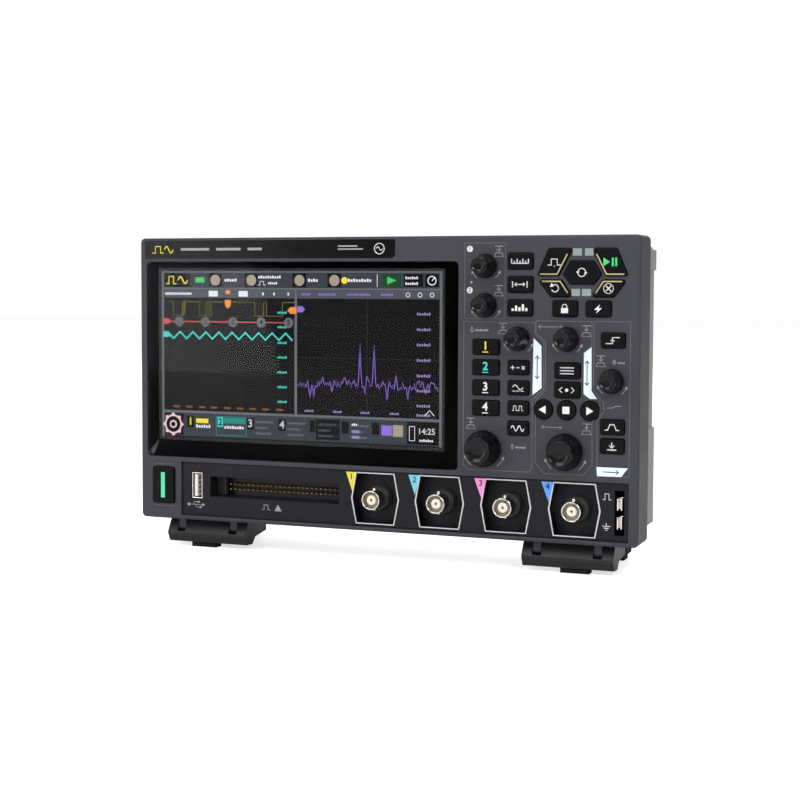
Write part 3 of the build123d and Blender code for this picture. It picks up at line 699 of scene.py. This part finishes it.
def makeHeader():
    low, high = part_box("logic_header")
    level = ((low.z + high.z) / 2 - baseZ) / mm
    pins = []
    for row in (-0.5, 0.5):
        for i in range(header["pins"]):
            x = header["middle"] + header["pitch"] * (i - (header["pins"] - 1) / 2)
            z = level + row * header["rowGap"]
            half = header["thick"] / 2
            pins.append(block(x - half, z - half, x + half, z + half, header["tip"], header["back"], 0.14, 1))
    piece = joined(pins)
    smoothed(piece)
    settled(piece, "headerPins", "goldPlate", "body")
    shroud = block(-92.3, level - 5.1, -86.2, level + 5.1, 8.2, 13.2, 0.3, 2)
    rib = [block(x, level - 4.9, x + 0.5, level + 4.9, 7.6, 8.3, 0.1, 1) for x in (-91.4, -90.0, -88.6, -87.2)]
    settled(joined([shroud] + rib), "headerBlank", "blackMoulding", "body")
    print("header pins made")


sockets = {  # name: middle across and up, tongue size, depth from and to, contacts, finish
    "frontUsb": ((-101.2, 18.0), (1.7, 11.4), (2.2, 14.0), "whiteMoulding", (4, "z", 2.4)),
    "networkBed": ((-76.7, 115.4), (10.4, 1.4), (36.5, 44.6), "blackMoulding", (8, "x", 1.02)),
    "videoTongue": ((-76.7, 100.0), (11.6, 1.3), (38.5, 44.6), "blackMoulding", (9, "x", 1.1)),
    "usbHostTongue": ((-76.7, 81.9), (11.2, 1.7), (35.5, 44.8), "whiteMoulding", (4, "x", 2.4)),
    "usbDeviceBlock": ((-76.7, 60.8), (5.6, 3.2), (37.5, 44.6), "blackMoulding", (4, "x", 1.3)),
    "powerTongue": ((-76.7, 40.0), (6.4, 0.7), (40.0, 45.0), "blackMoulding", (6, "x", 0.9)),
}


def makeSockets():
    blades = []
    for name, ((x, z), (wide, tall), (near, far), material, (count, way, pitch)) in sockets.items():
        tongue = block(x - wide / 2, z - tall / 2, x + wide / 2, z + tall / 2, near, far, 0.18, 2)
        smoothed(tongue)
        settled(tongue, name, material, "body")
        for i in range(count):
            shift = (i - (count - 1) / 2) * pitch
            if way == "x":
                cx, cz, sx, sz = x + shift, z - tall / 2, pitch * 0.28, 0.09
            else:
                cx, cz, sx, sz = x + wide / 2, z + shift, 0.09, pitch * 0.22
            blades.append(block(cx - sx, cz - sz, cx + sx, cz + sz, near + 0.8, far - 1.0, 0.04, 1))
    settled(joined(blades), "socketContacts", "goldPlate", "body")
    print("sockets lined")


screw = {"shank": 1.4, "head": 2.8, "headTall": 2.0, "slotWide": 0.75, "slotLong": 3.0, "slotDeep": 1.1,
         "coverIn": 14.7, "coverLevels": (6.5, 139.5), "boardIn": 25.7, "boardLevels": (88.0, 126.35),
         "fanReach": 16}


def makeScrews():
    half = bezelHigh.x / mm
    rear = depthOf("rear_cover")[1]
    covers = [(side * (half - screw["coverIn"]), level, 12.2, rear - 3.0, 1)
              for side in (-1, 1) for level in screw["coverLevels"]]
    boards = [(side * (half - screw["boardIn"]), level, 17.5, 23.6, 1)
              for side in (-1, 1) for level in screw["boardLevels"]]
    fanX, fanZ = placeOf("fan_frame")
    near, far = depthOf("fan_frame")
    reach = screw["fanReach"]
    fans = [(fanX + a * reach, fanZ + b * reach, far, near, -1) for a in (-1, 1) for b in (-1, 1)]
    made = []
    for x, z, tip, seat, toward in covers + boards + fans:
        top = seat + toward * screw["headTall"]
        body = turned(x, z, [(screw["shank"] - 0.4, tip), (screw["shank"], tip + toward * 0.5),
                    (screw["shank"], seat), (screw["head"], seat), (screw["head"], top - toward * 0.7),
                    (screw["head"] - 0.5, top - toward * 0.2), (screw["head"] - 1.1, top)], 32)
        cutters = []
        for a, b in ((screw["slotLong"], screw["slotWide"]), (screw["slotWide"], screw["slotLong"])):
            cutters.append(block(x - a / 2, z - b / 2, x + a / 2, z + b / 2,
                        *sorted((top - toward * screw["slotDeep"], top + toward))))
        for cutter in cutters:
            applied(body, "BOOLEAN", object=cutter, operation="DIFFERENCE", solver="EXACT")
            bpy.data.objects.remove(cutter)
        made.append(body)
    piece = joined(made)
    smoothed(piece, 30)
    settled(piece, "allScrews", "screwZinc", "body")
    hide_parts("screws")
    print("screws made")


# ---- more finishes: glass, lights and printing colours

printTints = {
    "inkWhite": (226, 226, 222), "inkYellow": (226, 214, 56), "inkTeal": (70, 205, 200),
    "inkGreen": (60, 205, 110), "inkAqua": (118, 198, 226), "inkChampagne": (196, 184, 140),
    "inkGrey": (112, 112, 117), "inkPale": (226, 242, 255), "inkDark": (38, 38, 44),
    "inkPink": (240, 140, 215), "inkSky": (92, 150, 235), "inkSoft": (150, 150, 156),
}
lightTints = {
    "greenLight": (96, 228, 170), "paleLight": (146, 160, 158), "screenBar": (52, 58, 66),
    "screenHead": (75, 78, 88),
    "screenFrame": (100, 102, 106), "screenWhite": (226, 228, 230), "screenYellow": (235, 215, 60),
    "screenOlive": (112, 108, 38), "screenTeal": (64, 200, 190), "screenDeepTeal": (36, 130, 126),
    "screenRed": (200, 82, 82), "screenOrange": (232, 140, 60), "screenDimOrange": (150, 98, 52),
    "screenPurple": (138, 108, 205), "screenDimPurple": (142, 132, 182), "screenGreen": (70, 190, 96),
    "screenBeige": (158, 148, 130), "screenBlack": (6, 6, 8), "screenFaint": (42, 44, 50),
    "screenPink": (226, 190, 196), "screenForest": (22, 66, 38), "screenSoftWhite": (186, 188, 192),
}
finishes["clearGlass"] = clearGlass()
for inkName, inkTint in printTints.items():
    finishes[inkName] = ink(inkName, colour(*inkTint))
for lightName, lightTint in lightTints.items():
    finishes[lightName] = glow(lightName, colour(*lightTint))


# ---- display: black border behind the glass and the lit picture

glassEdge = (-128.2, 33.2, 42.8, 133.5)
lit = (-121.0, 43.0, 34.6, 129.4)
layerDepth = {"back": 2.29, "middle": 2.277, "front": 2.26, "top": 2.248}


def caption(x, z, letters, size=1.5):  # a row of small plain blocks where the object has words
    tall = (0.62, 0.8, 0.62, 0.62, 0.8)
    low = z - size * 0.36
    return [bar(x + size * 0.72 * i, low, x + size * (0.72 * i + 0.5), low + size * tall[(i + letters) % 5])
            for i in range(letters)]


def captions(*rows):
    return [mark for row in rows for mark in caption(*row)]


def steps(edges, low, high, x0, x1):  # a pulse line that changes level at every edge
    points, level = [(x0, high)], high
    for edge in edges:
        points.append((edge, level))
        level = low if level == high else high
        points.append((edge, level))
    return points + [(x1, level)]


def spectrum():
    draw = random.Random(7)
    dips = {-36: 64.5, -34: 65.2, -5.8: 63.5, 5.7: 64.0, 16.8: 65.5, -24: 68.2, 26: 68.8}
    peaks = {-8.8: 94.5, -1.2: 94.0, -5.2: 79.0, 10.5: 78.5, -17: 77.0, 22.5: 76.5, -29: 76.8}
    points, x = [], -42.8
    while x < 32.4:
        z = 73 + draw.uniform(-2.3, 2.3)
        for centre, tip in list(dips.items()) + list(peaks.items()):
            near = max(0, 1 - abs(x - centre) / 0.9)
            z += (tip - z) * near
        points.append((x, z))
        x += 0.42
    return points


def screenMarks():
    combs = [line(0.25, (-119.5, 60 + 3.75 * i), (-118.0, 60 + 3.75 * i)) for i in range(15)]
    zigzag = [(-117.89 + 3.79 * i, 94.3 if i % 2 else 97.9) for i in range(20)]
    gear = [line(0.9, *arc(-114.5, 49.5, 4.6, 0, 360, 48)[:-1], loop=True)]
    gear += [disc(-114.5 + 5.1 * math.cos(t), 49.5 + 5.1 * math.sin(t), 0.95, 12)
             for t in [math.tau * i / 8 for i in range(8)]]
    gear += [ring(-114.5, 49.5, 1.7, 0.8)]
    badges = [disc(x, 103.2, 2.6) for x in (-110.8, -95.5, -79.5, -63.5, -48)]
    return {
        "screenBack": ("back", "screenBlack", [bar(*lit)]),
        "screenFrameLines": ("middle", "screenFrame", [
            bar(-121.0, 43.0, -119.8, 129.2), bar(-119.8, 128.6, 34.4, 129.3), bar(-119.8, 120.0, 34.0, 120.8),
            bar(-44.7, 56.5, -43.3, 120.0), bar(33.2, 43.2, 34.5, 129.3), bar(-119.8, 55.7, 33.2, 56.9)]),
        "screenBars": ("middle", "screenBar", [bar(-119.8, 120.8, 33.2, 128.6), bar(-119.8, 43.6, 33.2, 55.7)]),
        "screenHeads": ("middle", "screenHead",
            [bar(-119.6, 115.6, -44.9, 119.9), bar(-43.1, 115.6, 33.0, 119.9)]),
        "screenBoxes": ("front", "screenBlack", [
            bar(-119.5, 121.2, -104.5, 128.2), *[bar(x - 3.75, 121.2, x + 3.75, 128.2)
                for x in (-89.6, -69, -42, -22.8)],
            bar(14.5, 121.6, 24.5, 127.9), bar(25.6, 121.6, 32.6, 127.9), bar(-119.4, 44.1, -108.3, 55.2),
            bar(-32.8, 44.6, -19.8, 54.8), bar(16.3, 44.1, 33.0, 55.2), bar(-106.4, 48.2, -102.2, 54.2),
            bar(-71.8, 48.2, -67.6, 54.2), bar(-53.8, 48.2, -49.6, 54.2), bar(-36.2, 48.2, -33.2, 54.2),
            bar(-18.7, 48.2, -14.9, 54.2), bar(-2.2, 48.2, 1.6, 54.2)]),
        "screenTealFrame": ("front", "screenDeepTeal", [
            line(0.5, (-89.3, 44.7), (-72.0, 44.7), (-72.0, 54.3), (-89.3, 54.3), loop=True),
            bar(-85.0, 50.9, -72.5, 53.8)]),
        "screenButton": ("front", "screenForest", [bar(3.0, 121.5, 13.0, 128.0)]),
        "screenGrid": ("front", "screenFaint", [
            line(0.25, (-82.3, 57), (-82.3, 115.4)), line(0.25, (-43.2, 85.8), (33.0, 85.8)),
            line(0.25, (-5.0, 57), (-5.0, 115.4)), *combs,
            *[bar(-31.6 + 2.0 * i, 46.0, -30.2 + 2.0 * i, 47.6) for i in range(6)],
            *[bar(-31.6 + 2.0 * i, 51.0, -30.2 + 2.0 * i, 52.6) for i in range(6)]]),
        "screenPulses": ("front", "screenOlive", [
            line(0.45, *steps((-114.3, -107.9, -98.8, -95.0, -93.3, -92.0, -67.0, -62.0, -60.3, -51.5),
                106.5, 113.5, -117.0, -45.0)),
            line(0.35, (-108.7, 113.3), (-108.7, 106.7)), line(0.35, (-107.3, 113.3), (-107.3, 106.7))]),
        "screenRedLine": ("front", "screenRed", [
            bar(-115.0, 102.95, -46.0, 103.5), shape((-120.2, 104.8), (-117.2, 104.8), (-115.4, 103.3),
                (-117.2, 101.8), (-120.2, 101.8))]),
        "screenBadges": ("top", "screenFrame", badges),
        "screenSlots": ("front", "screenFrame", captions(*[
            (x, z, count, 1.4) for x in (-66.6, -48.6, -31.5, -13.8)
            for z, count in ((52.3, 10), (49.3, 7), (46.4, 9))])),
        "screenZigzag": ("front", "screenTeal", [
            line(1.1, *zigzag), shape((-120.2, 98.0), (-117.4, 98.0), (-115.8, 96.5), (-117.4, 95.0),
                (-120.2, 95.0)),
            *captions(*[(-54.2, z, 5) for z in (108.3, 101, 93, 85.6, 78, 70.5, 63)])]),
        "screenTealBars": ("top", "screenTeal", [bar(-88.5, 48.9, -85.3, 54.0)]),
        "screenOrange": ("top", "screenOrange", [
            bar(-83.6, 117.7, -81.1, 119.5),
            shape((-84.1, 114.6), (-80.7, 114.6), (-80.7, 111.8), (-82.4, 110.1), (-84.1, 111.8)),
            shape((-48.7, 109.5), (-47.0, 111.2), (-43.7, 111.2), (-43.7, 107.8), (-47.0, 107.8))]),
        "screenDimLabels": ("top", "screenDimOrange", captions(*[
            (x - 2.2, 58.9, 4, 1.3) for x in (-112, -104.5, -97, -90, -82.3, -75, -67.7, -60.5, -52.5)])),
        "screenSpectrum": ("front", "screenPurple", [
            line(0.38, *spectrum()), shape((-43.2, 111.7), (-40.4, 111.7), (-38.8, 110.1), (-40.4, 108.6),
                (-43.2, 108.6)),
            bar(2.8, 48.0, 8.3, 53.0),
            *captions((-41.0, 117.7, 5), (-31.5, 117.7, 9), (-16, 117.7, 12), (2.4, 117.7, 6))]),
        "screenPurpleLabels": ("top", "screenDimPurple", [
            *captions(*[(21.4, z, 6, 1.7) for z in (108.3, 100.7, 93.2, 85.6, 78, 70.6, 63.2, 58.6)]),
            *captions(*[(x, 58.9, 5, 1.4) for x in (-39, -23.5, -8.5, 7.2)])]),
        "screenYellowMarks": ("top", "screenYellow", [
            line(0.6, *scaled(pulse, 3.0, 1.9, -115.4, 124.7)),
            line(0.6, *scaled(sine, 2.8, 1.8, -108.6, 124.7)),
            disc(-17.3, 124.7, 1.7), bar(-101.0, 50.6, -93.9, 52.9)]),
        "screenGreenMarks": ("top", "screenGreen", [
            bar(-101.2, 123.4, -95.9, 126.1), shape((5.6, 126.7), (10.6, 124.75), (5.6, 122.8))]),
        "screenDiscs": ("top", "screenBeige", [
            *[disc(x, 124.7, 2.8) for x in (-89.6, -69, -42, -22.8)], bar(8.8, 47.6, 14.3, 53.4)]),
        "screenGear": ("top", "screenPink", gear),
        "screenWhiteMarks": ("top", "screenWhite", [
            *captions((-84.2, 124.7, 5, 2.0), (-65.0, 126.3, 10, 1.8), (-59.5, 123.2, 5, 1.5)),
            line(0.35, *scaled(pulse, 2.2, 0.9, -63.0, 123.2)),
            *captions((-37.2, 124.7, 4, 2.0), (-15.4, 124.7, 9, 2.0)), line(0.3, (0.3, 121.6), (0.3, 127.8)),
            *captions((15.2, 126.0, 6, 1.6), (15.2, 123.2, 6, 1.6)), ring(29.1, 124.7, 2.1, 0.5),
            line(0.5, (29.1, 124.7), (30.6, 126.2)),
            *captions((-119.0, 117.7, 13, 1.7), (-62.8, 117.7, 1, 1.8), (-56.6, 117.7, 1, 1.8),
                (-48.6, 117.7, 1, 1.8)), bar(-93.5, 116.3, -88.2, 119.2), bar(-76.2, 116.3, -71.0, 119.2),
            ring(16.6, 117.7, 1.0, 0.35), ring(22.9, 117.7, 1.0, 0.35), ring(29.2, 117.7, 1.0, 0.35),
            *captions((-101.0, 48.9, 6, 2.0), (-84.6, 48.9, 8, 2.0), (-13.2, 52.8, 3, 1.5)),
            line(0.45, (25.8, 58.6), (28.2, 61.2), (30.6, 58.6)), *caption(22.8, 46.2, 7, 1.5),
            line(0.4, (17.6, 46), (20.4, 46), (20.4, 53), (17.6, 53), loop=True)]),
        "screenGreenBars": ("top", "screenDimPurple",
            [bar(-13.0, 48.6, -9.0, 50.0), bar(-13.0, 45.8, -9.0, 47.2)]),
    }


screenNumbers = {  # colour: digits and their places
    "screenYellow": [("1", -104.3, 51.2, 5.6)],
    "screenBlack": [("2", -86.9, 51.4, 5.0), *[(str(i + 1), x, 103.25, 3.6)
            for i, x in enumerate((-110.8, -95.5, -79.5, -63.5, -48))]],
    "screenSoftWhite": [("3", -69.7, 51.2, 5.6), ("4", -51.7, 51.2, 5.6), ("14:25", 26.6, 50.6, 4.2)],
}


def makeDisplay():
    x0, z0, x1, z1 = glassEdge
    a, b, c, d = lit
    window = {**shape((a, b), (c, b), (c, d), (a, d)), "hole": True}
    marked("glassBorder", [shape((x0, z0), (x1, z0), (x1, z1), (x0, z1)), window],
           2.222, "blackPrint", slot="touch_glass", thick=0.02)
    for name, (layer, tint, marks) in screenMarks().items():
        marked(name, marks, layerDepth[layer], tint, slot="lcd_module", thick=0.008)
    for tint, numbers in screenNumbers.items():
        marked(tint + "Digits", [], 2.24, tint, slot="lcd_module", thick=0.006, texts=numbers)
    print("display drawn")


# ---- title strip, section outlines, flags, icons and light bars on the front

sectionOutlines = [
    [(46.6, 106.6), (67, 106.6), (67, 142.8), (46.6, 142.8)],
    [(46.3, 36), (48.6, 33.5), (79.3, 33.5), (81, 35.4), (81, 68.1), (86.4, 73.5), (86.4, 95.3), (82, 99.5),
     (82, 105), (46.3, 105)],
    [(82.5, 105.8), (82.5, 100.2), (87.2, 95.8), (87.2, 73.0), (82.5, 67.9), (82.5, 38.5), (87, 33.2),
     (106, 33.4), (110.3, 38.3), (110.1, 58.6), (113.9, 62.5), (113.8, 68.1), (109.6, 73), (109.6, 105.8)],
    [(110.6, 105.8), (110.6, 73.4), (115.5, 68.2), (115.6, 63.5), (112.5, 59.2), (112.7, 38), (112.9, 33.5),
     (128, 33.5), (128, 105.8)],
]
labelBlocks = [
    [(81.3, 97.6), (85.2, 93.9), (85.4, 73.9), (81, 70.5)],
    [(109.5, 93.8), (105.9, 91), (105.9, 71.7), (109, 69.4), (112.4, 69.5), (109.7, 73.2)],
    [(112.5, 37.5), (127.5, 37.5), (124.3, 33.3), (112.8, 33.2)],
]
labelArrows = [line(0.45, (83.2, 78.5), (83.2, 89)), line(0.45, (82.2, 87.8), (83.2, 89.3), (84.2, 87.8)),
            line(0.45, (82.2, 79.7), (83.2, 78.2), (84.2, 79.7)),
            line(0.45, (107.5, 76), (107.5, 87)), line(0.45, (106.6, 86), (107.5, 87.3), (108.4, 86)),
            line(0.45, (106.6, 77), (107.5, 75.7), (108.4, 77)),
            line(0.45, (115.5, 35.3), (123, 35.3)), line(0.45, (121.8, 36.3), (123.2, 35.3), (121.8, 34.3))]
flags = {  # channel: flag outline, colour, where its numeral stands
    "1": ([(-15.9, 29.2), (-10.5, 29.2), (-12.4, 19.3)], "inkYellow", (-13.0, 26.8)),
    "2": ([(17.5, 29.2), (23.6, 29.2), (21.0, 19.3)], "inkAqua", (20.7, 26.8)),
    "3": ([(51.7, 29.2), (58.1, 29.2), (55.4, 19.3)], "inkPink", (55.0, 26.8)),
    "4": ([(85.3, 29.2), (91.5, 29.2), (89.1, 19.3)], "inkSky", (88.6, 26.8)),
}
lightBars = [(100.1, 136.6, 104.4, 140.0), (105.9, 136.6, 110.0, 140.0), (99.6, 117.7, 103.7, 121.0),
            (104.6, 117.7, 109.0, 121.0)]


def pushIcon(x, z, size=1.0):  # a cap, an arrow and the knob that it presses
    return moved([line(0.32, (-1.5, 1.6), (1.5, 1.6)), line(0.32, (0, 1.5), (0, 0)),
                line(0.32, (-0.7, 0.6), (0, -0.1), (0.7, 0.6)),
                line(0.32, (-1.0, -0.6), (1.0, -0.6), (1.6, -1.8), (-1.6, -1.8), loop=True)], x, z, size)


pushPlaces = [(63.8, 138.9), (63.8, 120.1), (66.0, 102.0), (106.9, 101.4), (114.0, 87.4), (50.2, 56.0),
            (107.5, 55.2)]
wayMarks = [(49.0, 51.8, 101.2, True), (83.6, 95.4, 103.0, False), (119.2, 121.6, 86.8, True),
            (69.8, 72.4, 45.3, True), (85.6, 95.6, 55.4, False)]  # from, to, level, whether it stands upright


def turnArrow(x, z, radius, start, end):
    sweep = arc(x, z, radius, start, end, 12)
    tipX, tipZ = sweep[-1]
    way = math.radians(end + (90 if end > start else -90))
    out = math.radians(end)
    ahead = (tipX + 1.5 * math.cos(way), tipZ + 1.5 * math.sin(way))
    sides = [(tipX + side * 0.9 * math.cos(out), tipZ + side * 0.9 * math.sin(out)) for side in (-1, 1)]
    return [line(0.4, *sweep), shape(ahead, *sides)]


def onBezel(name, marks, depth, material, **details):
    marked(name, marks, depth, material, slot="front_bezel", **details)


def makePrint():
    x0, z0, x1, z1 = -129.7, 135.7, 10.5, 145.0
    strip = marksMesh([shape((x0, z0), (x1 - 1.5, z0), (x1, z0 + 1.5), (x1, z1), (x0, z1))], 0.12)
    strip.rotation_euler = (math.pi / 2, 0, 0)
    strip.location = spot(0, -0.02, 0)
    settled(strip, "titleStrip", "stripGloss", "body")
    onBezel("stripGlyph", [line(0.7, *scaled(pulse, 3.4, 1.7, -122.0, 140.4)),
                line(0.7, *scaled(sine, 2.6, 1.7, -115.6, 140.4))], -0.09, "inkYellow", thick=0.03)
    onBezel("stripBars", [bar(-108.5, 139.9, -92, 141.2), bar(-88, 139.9, -74, 141.2),
                bar(-70, 139.9, -62, 141.2), bar(-20.0, 139.9, -6.5, 140.6),
                bar(-20.0, 141.4, -9.5, 142.1)], -0.09, "inkSoft", thick=0.03)
    onBezel("stripBadge", [ring(2.2, 140.4, 2.6, 0.5), line(0.45, *scaled(sine, 1.7, 0.9, 2.2, 140.4))], -0.09,
           "inkWhite", thick=0.03)
    outlines = [line(0.35, *points, loop=True) for points in sectionOutlines]
    softMarks = []
    whiteMarks = [disc(50.0, 124.0, 0.6, 16)]
    for name in sorted(frame["nodes"]):
        if name.endswith("_knob"):
            x, z = placeOf(name)
            reach = 10.6 if name.endswith("scale_knob") else 7.4
            whiteMarks += turnArrow(x, z, reach, 232, 208) + turnArrow(x, z, reach, 308, 332)
    for x, z in pushPlaces:
        softMarks += pushIcon(x, z, 1.45)
    for x0, x1, z, upright in wayMarks:
        middle, half = (x0 + x1) / 2, (x1 - x0) / 2
        ends = [(middle, z - half), (middle, z + half)] if upright else [(middle - half, z), (middle + half, z)]
        softMarks.append(line(0.35, *ends))
        for way, (ex, ez) in zip((1, -1), ends):
            back = [(ex + way * 1.2, ez + 0.8), (ex, ez), (ex + way * 1.2, ez - 0.8)]
            if upright:
                back = [(ex - 0.8, ez + way * 1.2), (ex, ez), (ex + 0.8, ez + way * 1.2)]
            softMarks.append(line(0.35, *back))
    softMarks += caption(52.0, 101.0, 8, 1.2) + caption(122.0, 86.6, 5, 1.0) + caption(72.8, 45.1, 6, 1.2)
    softMarks.append(line(0.35, (116.8, 65.4), (119.4, 65.4), (121.6, 66.4), (123.8, 66.4)))
    onBezel("sectionLines", outlines, 0, "inkGrey")
    onBezel("knobIcons", softMarks, 0, "inkSoft")
    onBezel("turnArrows", whiteMarks, 0, "inkSoft")
    for number, node, above in (("1", "upper_multi_knob", 8.2), ("2", "lower_multi_knob", 7.2)):
        x, z = placeOf(node)
        onBezel(f"multiBadge{number}", [disc(x - 8.2, z + above, 1.5)], -0.01, "inkWhite")
        onBezel(f"multiDigit{number}", [], -0.05, "inkDark", texts=[(number, x - 8.2, z + above, 2.4)])
    onBezel("labelBlocks", [shape(*points) for points in labelBlocks], -0.02, "inkPale")
    onBezel("labelArrows", labelArrows, -0.06, "inkDark")
    hexes = []
    for mount in frame["record"]["mounts"]:
        if mount["name"].startswith("input_"):
            x = mount["pos_m"][0] / mm
            hexes.append(line(0.8, (x - 10.1, 29.0), (x + 10.1, 29.0), (x + 12.5, 16.3), (x + 10.1, 3.6),
                        (x - 10.1, 3.6), (x - 12.5, 16.3), loop=True))
    hexes += [line(0.45, *scaled(pulse, 2.1, 1.4, 117.4, 23.5)),
              line(0.45, (117.2, 11.0), (117.2, 9.6)), line(0.45, (115.2, 9.5), (119.2, 9.5)),
              line(0.45, (115.9, 8.6), (118.5, 8.6)), line(0.45, (116.6, 7.7), (117.8, 7.7))]
    faint = [shape((-55.6, 7.0), (-51.6, 7.0), (-53.6, 10.4)), line(0.55, *scaled(pulse, 2.4, 1.2, -60.4, 8.7)),
              line(0.4, (-104.6, 8.0), (-97.0, 8.0)), disc(-105.0, 8.0, 0.8, 16),
             line(0.4, (-102.8, 8), (-101.4, 9.4), (-99.6, 9.4)),
             line(0.4, (-101.6, 8), (-100.4, 6.7), (-98.6, 6.7)), disc(-99.3, 9.4, 0.6, 12),
             bar(-98.7, 6.2, -97.7, 7.2), shape((-97.2, 8.9), (-95.5, 8.0), (-97.2, 7.1))]
    marked("inputOutlines", hexes, 1.2, "inkWhite")
    marked("faintIcons", faint, 1.2, "inkSoft")
    for number, (outline, tint, (x, z)) in flags.items():
        marked(f"flag{number}", [shape(*outline)], 1.17, tint)
        marked(f"flagDigit{number}", [], 1.13, "inkDark", texts=[(number, x, z, 4.0)])
    x, z = placeOf("power_key")
    onBezel("powerOutline", [line(0.3, *[(x + a * 5.2, z + b * 11.0) for a, b in
                ((-1, -1), (1, -1), (1, 1), (-1, 1))], loop=True)], 0, "inkGrey")
    bars = [block(a, b, c, d, -0.12, 0.4, 0.1, 2) for a, b, c, d in lightBars]
    piece = joined(bars)
    smoothed(piece)
    settled(piece, "lightBars", "paleLight", "body")
    print("front printed")


makeCamera()
makeStudio()
makeHousings()
coverKeptNodes()
makeKeys()
makeKnobs()
makeConnectors()
makeHeader()
makeSockets()
makeScrews()
makeDisplay()
makePrint()

bpy.context.scene.view_settings.view_transform = "Standard"
